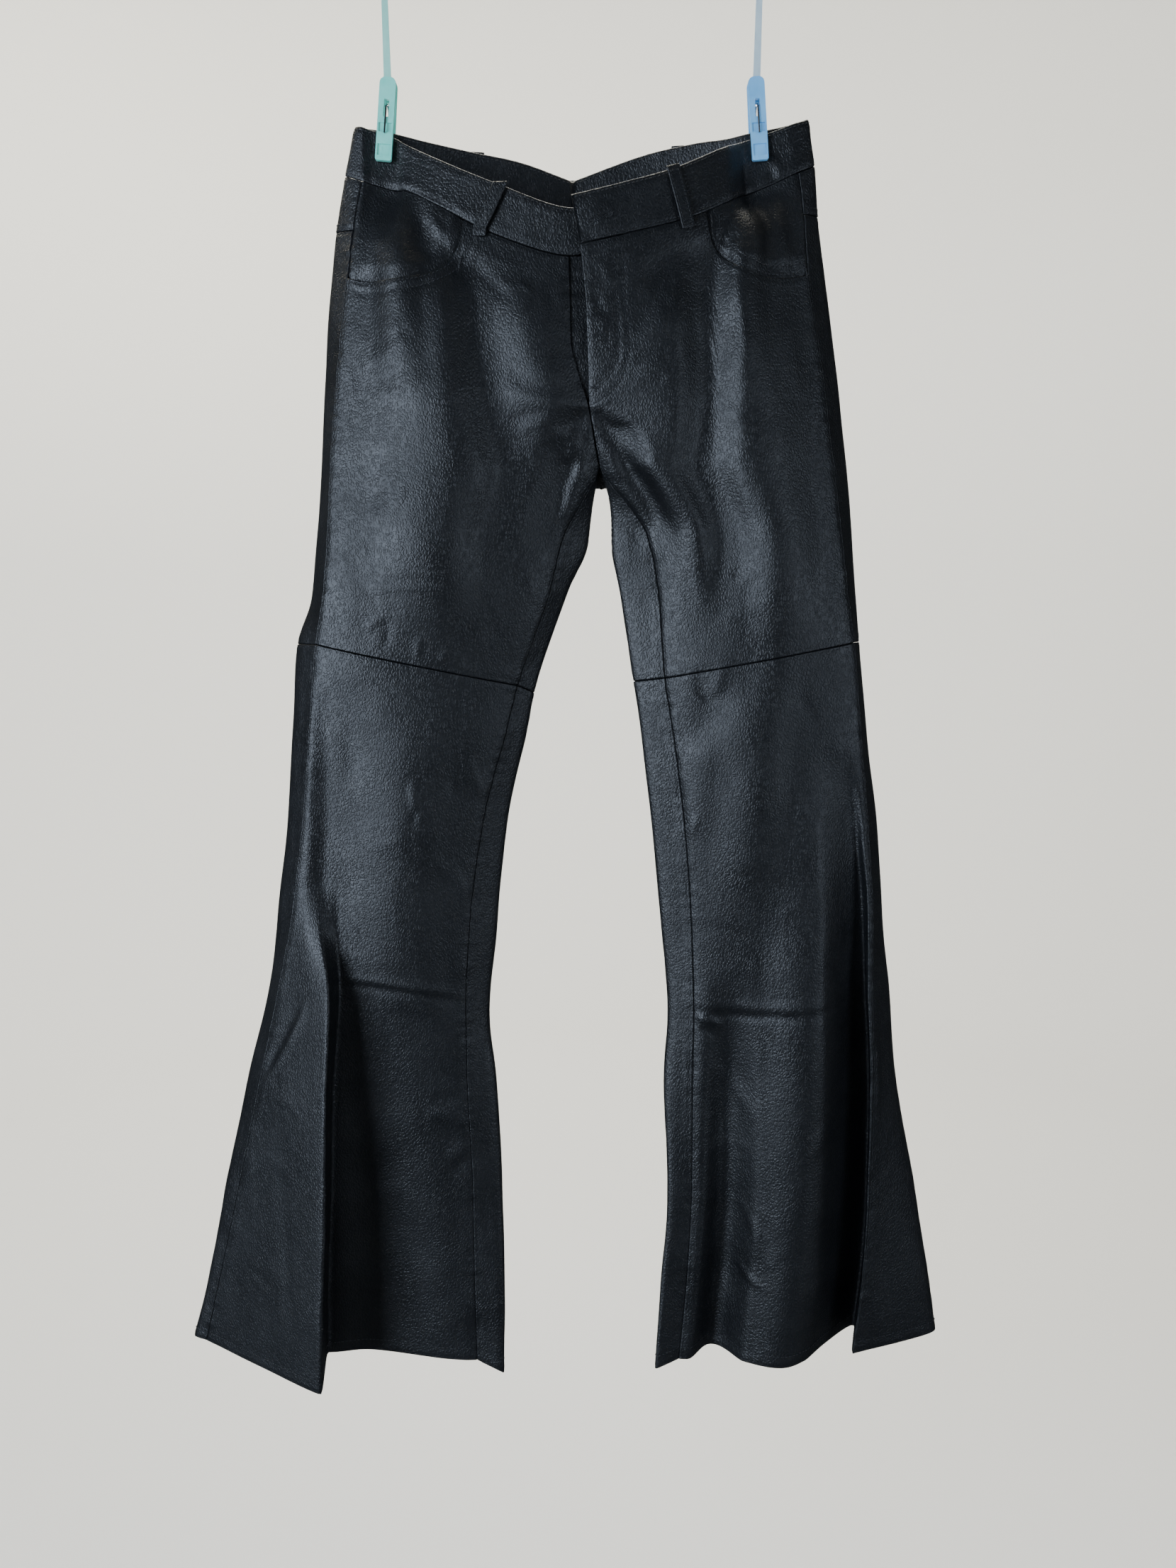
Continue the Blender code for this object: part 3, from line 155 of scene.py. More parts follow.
RIGHT_FRONT_FOLDS = [
    Fold(0.19, 0.30, 0.37, -1.0, 4.0, 0.14, 0.12, 6, 0, 0.6, 2.5, 2.0),         # below the peg
    Fold(0.27, 0.33, 0.42, 1.0, 9.2, 0.25, 0.20, 8, 0, 2.5, 3.0, 2.0),         # thigh's ridge
    Fold(0.46, 0.55, 0.76, 0.6, 8.2, 0.17, 0.14, -6, 0, 2.0, 3.0, 2.0),         # thigh's trough
    Fold(0.59, 0.68, 0.88, 0.8, 8.0, 0.14, 0.28, 4, 0, 2.0, 2.5, 2.0),          # beside the fly
    Fold(0.98, 0.87, 0.99, 3.2, 6.4, 0.10, 0.07, -5, 0, 0.8, 1.4, 1.8),       # fork's trough
    Fold(0.88, 0.78, 0.86, 3.8, 6.9, 0.12, 0.10, 3, 0, 1.2, 1.4, 2.0),          # its outer lip
    Fold(0.42, 0.60, 0.72, 7.8, 11.2, 0.20, 0.24, 5, 0, 1.6, 1.6, 2.0),         # slants down the shin
    Fold(0.11, 0.10, 0.08, 9.0, 16.0, 0.08, 0.20, -44, 22, 7.0, 0.0, 1.7),      # tuck at the outseam
    Fold(0.28, 0.38, 0.42, 9.4, 16.0, 0.22, 0.30, 14, 0, 5.6, 0.0, 2.0),       # flare's wave
    Fold(0.80, 0.80, 0.80, 11.5, 16.0, 0.17, 0.15, -22, 0, 4.5, 0.0, 2.0),      # flare's inner trough
]
# Across a back row, 0 is the centre back or the inseam and 1 the outseam.
LEFT_BACK_FOLDS = [
    Fold(0.62, 0.58, 0.55, 1.0, 8.0, 0.26, 0.26, 8, 0, 2.5, 3.0, 2.0),
    Fold(0.30, 0.34, 0.36, 3.5, 8.5, 0.15, 0.15, -7, 0, 2.0, 2.5, 2.0),
    Fold(0.28, 0.30, 0.30, 10.5, 16.0, 0.16, 0.16, 16, 0, 5.0, 0.0, 1.8),
    Fold(0.50, 0.50, 0.50, 10.5, 16.0, 0.15, 0.15, -18, 0, 5.0, 0.0, 1.8),
    Fold(0.70, 0.71, 0.72, 10.5, 16.0, 0.16, 0.16, 16, 0, 5.0, 0.0, 1.8),
]
RIGHT_BACK_FOLDS = [
    Fold(0.60, 0.62, 0.60, 1.0, 8.0, 0.26, 0.26, 8, 0, 2.5, 3.0, 2.0),
    Fold(0.32, 0.33, 0.38, 3.5, 8.5, 0.15, 0.15, -7, 0, 2.0, 2.5, 2.0),
    Fold(0.32, 0.30, 0.27, 10.5, 16.0, 0.15, 0.15, 14, 0, 5.0, 0.0, 1.8),
    Fold(0.46, 0.45, 0.44, 10.5, 16.0, 0.14, 0.14, -16, 0, 5.0, 0.0, 1.8),
    Fold(0.62, 0.61, 0.60, 10.5, 16.0, 0.14, 0.16, 16, 0, 5.0, 0.0, 1.8),
]

# One row for each station of a waistband half, from its front end round the side to the centre
# back. The top and bottom edge of its outer face. OUTSEAM_STATION is where the outseam starts.
Station = namedtuple("Station", "x_top y_top z_top x_bottom y_bottom z_bottom")
LEFT_BAND = [
    Station(42, -28, -184, 44, -26, -216),            # end of the underlap
    Station(1, -29.5, -195, 1, -28, -229.5),          # centre front
    Station(-56, -24, -174.5, -57, -25, -212),        # belt loop
    Station(-94, -16, -157, -102, -18, -188),
    Station(-125, -4.5, -140, -125, -9, -175.5),
    Station(-134, -2.8, -134.5, -134, -4.2, -174),
    Station(-152, -2.8, -128.5, -152, -4.2, -169),
    Station(-160, -3.5, -126, -160.5, -6, -166.5),    # outseam
    Station(-165, 0, -125, -174.5, 0.5, -161),        # side fold
    Station(-160, 3.5, -125.5, -163, 6, -163),
    Station(-152, 2.8, -126.5, -152, 4.2, -165),
    Station(-134, 2.8, -130, -134, 4.2, -169),
    Station(-110, 8, -134, -112, 13, -173),
    Station(-75, 16, -139, -76, 19, -180),
    Station(-37, 22, -145, -37, 24, -187.5),
    Station(3.5, 28, -157.5, 4, 27, -197),            # centre back
]
RIGHT_BAND = [
    Station(3, -38, -188.5, 9.5, -38, -223.5),        # end of the extension
    Station(36, -37, -181, 41, -37.5, -217),          # buttonhole
    Station(80, -31, -168, 90, -32, -204.5),          # belt loop
    Station(118, -17, -149, 121, -22, -190.5),
    Station(133, -5, -141, 134, -12, -182.5),
    Station(141, -2.8, -138, 141, -4.2, -178.5),
    Station(158, -2.8, -132.5, 159, -4.2, -171.5),
    Station(176, -5, -127, 180, -6, -163),            # outseam
    Station(188, 0, -122.5, 193.5, 0, -156.5),        # side fold
    Station(176, 5, -124.5, 180, 6, -158.5),
    Station(158, 2.8, -129, 159, 4.2, -164),
    Station(141, 2.8, -132, 141, 4.2, -169.5),
    Station(125, 7, -134, 126, 10, -172.5),
    Station(98, 14, -135, 98, 18, -176),
    Station(58, 22, -141, 58, 24, -183),
    Station(3.5, 28, -157.5, 4, 27, -197),            # centre back
]
OUTSEAM_STATION = 7

Mouth = namedtuple("Mouth", "width power")     # a pocket's mouth: share of the front row, roundness
Leg = namedtuple("Leg", "name side sections front_folds back_folds band front_station mouth")
LEGS = (
    Leg("left", -1, LEFT_SECTIONS, LEFT_FRONT_FOLDS, LEFT_BACK_FOLDS, LEFT_BAND, 1,
        Mouth(0.515, 2.3)),
    Leg("right", 1, RIGHT_SECTIONS, RIGHT_FRONT_FOLDS, RIGHT_BACK_FOLDS, RIGHT_BAND, 0,
        Mouth(0.465, 2.6)),
)
POCKET_DEPTH = 2.0                    # the mouth's lowest section, at the outseam
SECTION_STEP = 36.0                   # about the height of a section there
BAND_BLEND = 1.2                      # sections over which a panel leaves the waistband's line


# ---------------------------------------------------------------- creases laid one by one
# A crease is a soft trough (height below nought) or ridge drawn on a leg's front or back from one
# point to another, x and z in millimetres, bowed sideways by bow, width its half width.
Crease = namedtuple("Crease", "x0 z0 x1 z1 bow width height")
LEFT_FRONT_CREASES = [Crease(*row) for row in (
    (15, -347, -7, -403, 3, 5, -2.21), (-4, -396, -12, -434, 0, 5, -1.69), (8, -358, 4, -396, 0, 5, 1.17),
    (-132, -164, -127, -208, 0, 7, 1.04), (-127, -208, -116, -252, -2, 8, 1.43),
    (-143, -186, -141, -242, 0, 9, -1.17), (-118, -186, -105, -241, 3, 8, -1.56),
    (-110, -193, -97, -220, 3, 5, 1.17), (-104, -208, -91, -234, 2, 5, -0.78),
    (-87, -193, -82, -216, -2.4, 5, 0.78), (-108, -195, -83, -199, 2, 3, 0.59),
    (-75, -234, -46, -266, 4, 6, -0.65), (-68, -231, -35, -256, -4.1, 5, 0.59),
    (-39, -249, -28, -261, 1.6, 2.5, 0.59), (-10, -240, 3, -298, 0, 7, 0.78),
    (-47, -314, 3, -330, -5.2, 6, -0.78), (-53, -324, -3, -341, -5.3, 5, 0.78),
    (-48, -351, -12, -354, 3.6, 5, -0.72), (-40, -362, -9, -354, 3.2, 5, 0.72),
    (-26, -368, 13, -345, -4.5, 6, 1.17), (-9, -360, 14, -344, -2.8, 4, -1.04),
    (-168, -276, -156, -313, 3, 6, 0.65), (-172, -297, -162, -340, 2, 5, -0.65),
    (-167, -310, -110, -276, -6.6, 5, 0.59), (-161, -324, -105, -297, -6.2, 5, -0.59),
    (-156, -334, -111, -319, -4.8, 4, 0.52), (-146, -282, -118, -276, -2.9, 4, 0.59),
    (-129, -276, -116, -297, -2.5, 4, -0.59), (-161, -423, -138, -424, 2.3, 2.2, 0.59),
    (-140, -420, -129, -402, -2.1, 2.2, 0.68), (-162, -410, -139, -397, -2.7, 3, -0.51),
    (-159, -422, -138, -413, -2, 2.2, 0.59), (-163, -443, -153, -454, -1.6, 2.5, -0.68),
    (-173, -479, -153, -492, 2.4, 4, -0.65), (-187, -488, -97, -483, 5, 4, 0.66),
    (-148, -476, -93, -481, 3, 3, -0.68), (-164, -514, -149, -504, 1.9, 3, 0.85),
    (-148, -504, -151, -530, 2, 4, -0.72), (-123, -537, -120, -519, 1.8, 3, 0.85),
    (-105, -541, -99, -530, 1.3, 3, 0.68), (-78, -505, -72, -537, 2, 4, 0.52),
    (-63, -502, -57, -524, -2, 4, -0.52), (-196, -488, -188, -514, 2.7, 5, -0.91),
    (-45, -458, -30, -493, 3.8, 5, 0.65), (-188, -531, -134, -543, -3, 4, 0.52),
    (-176, -559, -135, -569, 4.3, 4, -0.45), (-130, -634, -124, -668, -3.4, 3.5, 1.19),
    (-123, -654, -133, -678, -2.5, 3, -0.94), (-87, -615, -68, -655, -4.4, 5, 0.85),
    (-104, -631, -98, -655, 2, 4, -0.52), (-99, -718, -93, -741, 2.3, 3, 0.77),
    (-150, -755, -139, -751, 1, 2, 0.51), (-125, -701, -90, -729, 4.5, 5, 0.59),
    (-187, -588, -183, -641, 3, 8, -0.91), (-168, -694, -115, -688, 5.3, 5, 0.39),
    (-202, -808, -92, -829, 4, 3.2, -1.2), (-205, -802, -91, -821, 3, 4, 1.08),
    (-93, -823, -87, -841, 1.8, 4, 1.04), (-223, -821, -267, -896, 2, 2.6, 1.87),
    (-233, -822, -271, -892, 3, 5, -1.43), (-127, -923, -90, -937, 3.9, 6, 1.3),
    (-122, -910, -89, -918, 3.4, 5, -1.04), (-109, -965, -89, -952, 2.4, 5, 1.17),
    (-111, -981, -90, -967, 2.5, 5, -0.78), (-158, -985, -142, -1025, 4.4, 6, 0.65),
    (-129, -1025, -88, -1090, -7.6, 9, -0.78), (-165, -831, -108, -858, 6.3, 9, -0.65),
    (-270, -908, -230, -909, 4, 5, 0.59), (-270, -961, -235, -971, 3.6, 4, 0.45),
    (-292, -1060, -259, -1074, 3.6, 4, -0.39), (-247, -962, -239, -1116, -3, 6, -0.52),
)]
RIGHT_FRONT_CREASES = [Crease(*row) for row in (
    (19, -347, 54, -398, -3, 7, -2.73), (48, -390, 72, -435, 4, 7, -2.34), (29, -343, 65, -395, -4, 7, 1.43),
    (22, -360, 42, -397, 0, 6, 1.56), (140, -169, 134, -218, 3, 8, 1.04), (142, -192, 139, -245, 4, 7, 1.56),
    (128, -191, 124, -241, -3, 7, -1.43), (116, -205, 130, -244, 2, 5, 0.78),
    (150, -185, 157, -244, 2, 6, -1.3), (156, -177, 170, -242, 2, 7, 1.17), (173, -185, 177, -244, 0, 6, -0.91),
    (101, -210, 119, -244, 3.8, 4, 0.59), (153, -149, 167, -167, 2.3, 4, 0.78),
    (159, -157, 165, -180, -2, 4, -0.91), (91, -244, 47, -299, -7, 12, -1.69),
    (75, -225, 47, -254, -4, 7, 0.78), (19, -235, 34, -254, 2.4, 5, 0.78), (20, -253, 28, -277, -2.5, 4, -0.78),
    (32, -256, 42, -246, 1.4, 3, 0.77), (20, -277, 36, -293, 2.3, 5, 0.59), (28, -298, 42, -277, 2.5, 4, -0.65),
    (47, -331, 78, -312, 3.6, 5, 0.59), (71, -331, 76, -315, -1.7, 3, 0.68),
    (49, -299, 75, -272, -3.7, 7, 0.85), (25, -349, 55, -360, 3.3, 5, 0.78),
    (27, -360, 64, -385, 4.4, 6, -0.65), (105, -257, 119, -299, -4, 7, 1.04),
    (127, -262, 130, -313, 0, 5, -0.78), (114, -299, 125, -289, 1.5, 3, 0.77),
    (121, -312, 144, -289, -3.3, 4, 0.52), (125, -331, 147, -310, -3.1, 4, -0.52),
    (117, -339, 131, -364, 2.8, 5, 0.65), (138, -337, 142, -369, 0, 5, -0.65),
    (130, -366, 148, -358, 2, 3, 0.59), (131, -385, 156, -369, -3, 4, -0.45),
    (169, -278, 178, -337, 0, 8, 0.78), (136, -480, 147, -468, 1.6, 3, 0.77),
    (129, -475, 136, -464, -1.3, 3, -0.68), (92, -471, 99, -532, 4, 8, -0.65),
    (115, -519, 166, -494, 5.7, 6, 0.45), (102, -548, 116, -577, -3.2, 6, -1.04),
    (122, -540, 111, -571, 3, 5, 0.78), (150, -561, 97, -683, -10, 18, 1.95),
    (119, -564, 86, -616, 6, 12, -1.17), (185, -655, 194, -669, -1.6, 2.5, 0.85),
    (192, -670, 202, -649, -2.4, 2.5, -0.77), (182, -660, 188, -670, 1.2, 2, 0.68),
    (104, -670, 98, -690, -2.1, 3, 0.85), (132, -637, 159, -670, 4.3, 6, 0.52),
    (169, -680, 202, -664, 3.7, 6, -0.45), (133, -703, 183, -724, 5.4, 8, 0.52),
    (164, -758, 197, -741, 3.7, 4, 0.39), (104, -765, 150, -775, 4.8, 5, -0.52),
    (180, -565, 197, -604, 4, 6, -0.59), (99, -837, 218, -831, -4, 3.6, -1.08),
    (107, -829, 214, -825, -3, 5, 0.96), (98, -841, 124, -849, 2.7, 3, 1.87),
    (100, -851, 119, -858, 2.1, 3, -1.19), (113, -883, 149, -934, 6.2, 6, 0.85),
    (124, -912, 141, -965, -5.6, 5, -0.78), (108, -965, 154, -956, 4.7, 5, 0.45),
    (139, -1001, 153, -1051, 5.2, 4, 0.78), (150, -1010, 165, -1046, 3.9, 5, -0.52),
    (136, -1057, 162, -1077, -3, 3, 0.85), (183, -965, 212, -926, -4.9, 4, 0.52),
    (195, -939, 208, -928, 1.6, 2, -0.51), (206, -1065, 229, -1111, -5.1, 12, 1.43),
    (156, -843, 181, -839, 2.5, 3, 0.59), (125, -1064, 134, -1133, 0, 8, 0.65),
)]
# Hidden from the photograph: like those in front, where cloth hung this way has them.
LEFT_BACK_CREASES = [Crease(*row) for row in (
    (-140, -175, -128, -262, 3, 8, 2.0), (-120, -180, -104, -270, -4, 7, -1.8),
    (-88, -205, -70, -300, 5, 8, 1.4), (-40, -215, -28, -300, -4, 9, -1.2), (8, -395, -60, -335, 7, 6, 1.8),
    (4, -402, -72, -362, -5, 5, -1.6), (-6, -412, -88, -400, 6, 6, 1.6), (-10, -430, -96, -436, 8, 6, -1.3),
    (-20, -470, -110, -492, 6, 6, 1.2), (-30, -500, -120, -520, -5, 5, -1.0),
    (-180, -330, -120, -300, 5, 6, 0.9), (-190, -420, -130, -390, -5, 6, 0.9),
    (-200, -500, -140, -470, 6, 5, -1.0), (-70, -560, -160, -585, 8, 6, -1.4),
    (-66, -585, -150, -615, 6, 5, 1.2), (-210, -570, -150, -600, -6, 5, 1.0),
    (-120, -640, -110, -740, 8, 6, 1.1), (-180, -660, -170, -760, -7, 7, -1.0),
    (-232, -826, -104, -846, 4, 4, -2.0), (-228, -815, -110, -834, 3, 5, 1.5),
    (-235, -830, -262, -930, -8, 6, 1.8), (-120, -860, -104, -960, 6, 8, 1.4),
    (-170, -900, -180, -1010, 9, 8, -1.2), (-140, -985, -110, -1040, 6, 6, 1.0),
    (-230, -1000, -215, -1080, -7, 7, 1.0),
)]
RIGHT_BACK_CREASES = [Crease(*row) for row in (
    (150, -172, 142, -262, -3, 8, 2.0), (132, -178, 118, -262, 4, 7, -1.8), (96, -205, 82, -292, 4, 8, 1.4),
    (48, -212, 40, -300, 4, 9, -1.1), (34, -396, 96, -340, -7, 6, 1.8), (36, -404, 108, -366, 5, 5, -1.6),
    (44, -418, 124, -402, -6, 6, 1.5), (48, -440, 132, -440, -8, 6, -1.3), (52, -478, 140, -494, 6, 6, 1.1),
    (204, -326, 150, -302, 5, 6, 0.9), (212, -430, 160, -398, 5, 6, 0.9), (218, -505, 168, -480, -6, 5, -1.0),
    (66, -560, 150, -586, 8, 6, -1.3), (72, -590, 160, -612, -6, 5, 1.2), (226, -574, 170, -596, 6, 5, 1.0),
    (130, -650, 126, -748, 8, 6, 1.0), (196, -664, 190, -756, -7, 7, -1.0), (92, -842, 226, -832, 4, 4, -2.0),
    (96, -828, 220, -820, 3, 5, 1.5), (238, -840, 252, -930, 8, 6, 1.6), (120, -860, 108, -960, -6, 8, 1.4),
    (176, -906, 184, -1010, 9, 8, -1.2), (150, -990, 116, -1046, -6, 6, 1.0),
    (236, -1000, 228, -1080, 7, 7, 1.0),
)]

def leg_creases(name, back):
    """The creases of a leg's front or back."""
    if back:
        return LEFT_BACK_CREASES if name == "left" else RIGHT_BACK_CREASES
    return LEFT_FRONT_CREASES if name == "left" else RIGHT_FRONT_CREASES


DENSE_ROWS = 20          # rows of a leg's surface for each section
DENSE_COLUMNS = 181
HEM_STITCH = 9.0         # height of the hem's stitches above its edge
HEM_SECTION = 62.0       # height of the last section, and of the yoke's
SEAM_ROWS = (2.4, 8.4)   # two rows of stitches beside a seam
MOUTH_ROWS = (2.4, 9.0)  # and below a pocket's mouth
CALM_EDGE = 9.0          # width beside a seam that the creases leave alone
BAND_STEPS = 14          # points of a waistband for each station
BUTTON_SWELL = (22.0, -205.0)
BUTTONHOLE = [(18.0, -207.5), (32.5, -202.6)]

# Stitch lines of the fly on the right front, x and z.
FLY_OUTER = [(40.9, -225.6), (42.4, -260.9), (45.5, -289.9), (45.5, -306.6), (41.1, -321.2), (32.3, -332.2),
             (23.0, -337.9), (18.0, -340.0)]
FLY_INNER = [(35.6, -225.6), (37.0, -260.9), (38.5, -289.9), (37.9, -305.5), (33.4, -317.0), (25.8, -325.8),
             (19.2, -331.0)]
FLY_FOOT = 3.05          # the section where the fly ends
BAR_TACKS = [[(17.0, -328.5), (23.0, -328.6)], [(17.0, -343.3), (24.0, -343.4)]]


# ---------------------------------------------------------------- curves and surfaces
def track(values, at):
    """Values given at 0, 1, 2 and so on, read between them on cubics that never overshoot."""
    values = np.asarray(values, float)
    step = np.diff(values)
    slope = np.zeros_like(values)
    product = step[1:] * step[:-1]
    total = np.where(product > 0, step[1:] + step[:-1], 1.0)
    slope[1:-1] = np.where(product > 0, 2 * product / total, 0.0)
    slope[0], slope[-1] = step[0], step[-1]
    i = np.clip(np.floor(at).astype(int), 0, len(values) - 2)
    t = at - i
    return (
        (1 + 2 * t) * (1 - t) ** 2 * values[i]
        + t * (1 - t) ** 2 * slope[i]
        + t * t * (3 - 2 * t) * values[i + 1]
        + t * t * (t - 1) * slope[i + 1]
    )


def spline(points, per_span):
    """A curve through points, shape (..., count, 3): cubics whose slope at a point is half the step
    between its two neighbours."""
    slope = np.empty_like(points)
    slope[..., 1:-1, :] = (points[..., 2:, :] - points[..., :-2, :]) / 2
    slope[..., 0, :] = points[..., 1, :] - points[..., 0, :]
    slope[..., -1, :] = points[..., -1, :] - points[..., -2, :]
    t = np.linspace(0, 1, per_span, endpoint=False)[:, None]
    spans = []
    for i in range(points.shape[-2] - 1):
        a, b = points[..., i, None, :], points[..., i + 1, None, :]
        m, n = slope[..., i, None, :], slope[..., i + 1, None, :]
        spans.append((1 + 2 * t) * (1 - t) ** 2 * a + t * (1 - t) ** 2 * m
                     + t * t * (3 - 2 * t) * b + t * t * (t - 1) * n)
    spans.append(points[..., -1:, :])
    return np.concatenate(spans, axis=-2)


def run_along(points):
    """How far along a line of points each of them lies."""
    return np.concatenate([[0], np.cumsum(np.linalg.norm(np.diff(points, axis=0), axis=1))])


def smooth(t):
    """0 at 0 and 1 at 1, level at both: t * t * (3 - 2 * t), held between."""
    t = np.clip(t, 0, 1)
    return t * t * (3 - 2 * t)


def even(rows, count):
    """Each row of points, shape (rows, n, 3), read again at count equal steps of its length."""
    out = np.empty((len(rows), count, 3))
    for i, row in enumerate(rows):
        length = run_along(row)
        at = np.linspace(0, length[-1], count)
        for axis in range(3):
            out[i, :, axis] = np.interp(at, length, row[:, axis])
    return out


def ramp(t):
    """0 below 0, 1 above 1, a quarter sine between."""
    return np.sin(np.clip(t, 0, 1) * math.pi / 2)


def fold_shift(folds, across, along, side):
    """Sum of the folds at across, shape (rows, n), and along, shape (rows, 1): x and y shifts."""
    shift_x = np.zeros_like(across)
    shift_y = np.zeros_like(across)
    for fold in folds:
        t = np.clip((along - fold.top) / (fold.foot - fold.top), 0, 1)
        crest = (fold.start * (1 - t) * (1 - 2 * t) + 4 * fold.middle * t * (1 - t)
                 + fold.end * t * (2 * t - 1))
        height = ramp((along - fold.top) / fold.fade_in)
        if fold.fade_out:
            height = height * ramp((fold.foot - along) / fold.fade_out) ** 2
        out = crest if fold.reach_out is TO_SEAM else fold.reach_out
        away = across - crest
        distance = np.clip(np.abs(away) / np.where(away < 0, out, fold.reach_in), 0, 1)
        lift = height * (1 - distance ** fold.soft) ** fold.soft
        shift_y += lift * fold.forward
        shift_x += lift * fold.aside * side
    return shift_x, shift_y


def columns(leg, along):
    """The leg's section table read at along: a Section of arrays of the same shape."""
    return Section(*(track(column, along) for column in zip(*leg.sections)))


def band_edge(leg, first, last, edge, per_span=12):
    """The waistband's top or bottom edge from one station to another, one point a row of three."""
    points = np.array([station[:3] if edge == "top" else station[3:] for station in leg.band], float)
    whole = spline(points, per_span)
    part = whole[min(first, last) * per_span:max(first, last) * per_span + 1]
    return part if last > first else part[::-1]


def front_surface(leg, along):
    """Front rows, outseam to inner seam: a straight line between the seams, bowed forward by
    belly * (4 f (1 - f)) ** 0.75, and shifted by the front folds."""
    f = np.linspace(0, 1, 2 * DENSE_COLUMNS)[None, :]
    v = along[:, None]
    s = columns(leg, v)
    seam = [track(column, np.clip(v - HIP, 0, FORK - HIP)) for column in zip(*CENTRE_FRONT)]
    shared = (v >= HIP) & (v <= FORK)
    x_in, y_in, z_in = (np.where(shared, a, b) for a, b in zip(seam, (s.x_in, s.y_in, s.z_in)))
    shift_x, shift_y = fold_shift(leg.front_folds, np.repeat(f, len(along), 0), v, leg.side)
    x = s.x_out + (x_in - s.x_out) * f + shift_x
    y = s.y_out + (y_in - s.y_out) * f - s.belly * (4 * f * (1 - f)) ** 0.75 - shift_y
    z = s.z_out + (z_in - s.z_out) * f
    return even(np.stack(np.broadcast_arrays(x, y, z), axis=-1), DENSE_COLUMNS)


def back_surface(leg, along):
    """Back rows, inner seam to outseam: a spline round the tube's inner edge, across at the depth
    of the seat and round its outer edge, shifted by the back folds."""
    s = columns(leg, along)
    above = np.clip(along, 0, FORK)
    centre = [track(column, above) for column in zip(*CENTRE_BACK)]
    open_top = along < FORK
    seam = [np.where(open_top, c, own) for c, own in zip(centre, (s.x_in, s.y_in, s.z_in))]
    points = [seam, [s.x_inner, s.y_inner, s.z_inner]]
    for share, depth in ((0.13, 0.72), (0.38, 1.0), (0.66, 0.98), (0.90, 0.66)):
        near, far = s.y_inner, s.y_outer
        edge = near if share < 0.5 else far
        points.append([
            s.x_inner + (s.x_outer - s.x_inner) * share,
            edge + (s.seat - edge) * depth,
            s.z_inner + (s.z_out - s.z_inner) * share,
        ])
    points.append([s.x_outer, s.y_outer, s.z_out])
    points.append([s.x_out, s.y_out, s.z_out])
    rows = even(spline(np.moveaxis(np.array(points), 2, 0), 14), DENSE_COLUMNS)
    g = np.repeat(np.linspace(0, 1, DENSE_COLUMNS)[None, :], len(along), 0)
    shift_x, shift_y = fold_shift(leg.back_folds, g, along[:, None], leg.side)
    rows[..., 0] += shift_x
    rows[..., 1] += shift_y
    return rows


def join_band(leg, rows, edge, along):
    """Rows drawn to the waistband's bottom edge at the waist seam, and let go below it."""
    share = smooth(1 - np.clip(along / BAND_BLEND, 0, 1))[:, None, None]
    target = even(edge[None], DENSE_COLUMNS)[0] - np.array([0, 0, SEAM_GAP])
    return rows + share * (target - rows[0])[None]


def normals_of(rows, outward):
    """Unit normals of a surface of rows, turned so that they point out of the leg."""
    across = np.gradient(rows, axis=1)
    down = np.gradient(rows, axis=0)
    normal = np.cross(across, down) * outward
    return normal / np.maximum(np.linalg.norm(normal, axis=-1, keepdims=True), 1e-9)


def unit(vectors):
    return vectors / np.maximum(np.linalg.norm(vectors, axis=-1, keepdims=True), 1e-9)


def share_normals(a, b):
    """Two seam edges that meet get the same normals, so that their walls are mitred."""
    both = unit(a + b)
    a[...] = both
    b[...] = both


class Surface:
    """A leg's front or back: rows of points and normals, read at any along and across."""

    def __init__(self, rows, normals):
        self.rows = rows
        self.normals = normals

    def read(self, grid, along, across):
        i = np.clip(along * DENSE_ROWS, 0, len(grid) - 1.000001)
        j = np.clip(across * (DENSE_COLUMNS - 1), 0, DENSE_COLUMNS - 1.000001)
        i0, j0 = np.floor(i).astype(int), np.floor(j).astype(int)
        di, dj = (i - i0)[..., None], (j - j0)[..., None]
        return (
            grid[i0, j0] * (1 - di) * (1 - dj)
            + grid[i0 + 1, j0] * di * (1 - dj)
            + grid[i0, j0 + 1] * (1 - di) * dj
            + grid[i0 + 1, j0 + 1] * di * dj
        )

    def path(self, along, across, lift=0.0):
        """Points of the outer face, raised by lift, and their normals."""
        along, across = np.broadcast_arrays(np.asarray(along, float), np.asarray(across, float))
        normal = unit(self.read(self.normals, along, across))
        return self.read(self.rows, along, across) + normal * lift, normal

    def at(self, along, across, inward=0.0):
        """Points on the outer face, or inward of it."""
        return self.path(along, across, -inward)[0]

    def length(self, along):
        """Length of the row at along."""
        points = self.at(along, np.linspace(0, 1, 60))
        return float(np.linalg.norm(np.diff(points, axis=0), axis=1).sum())


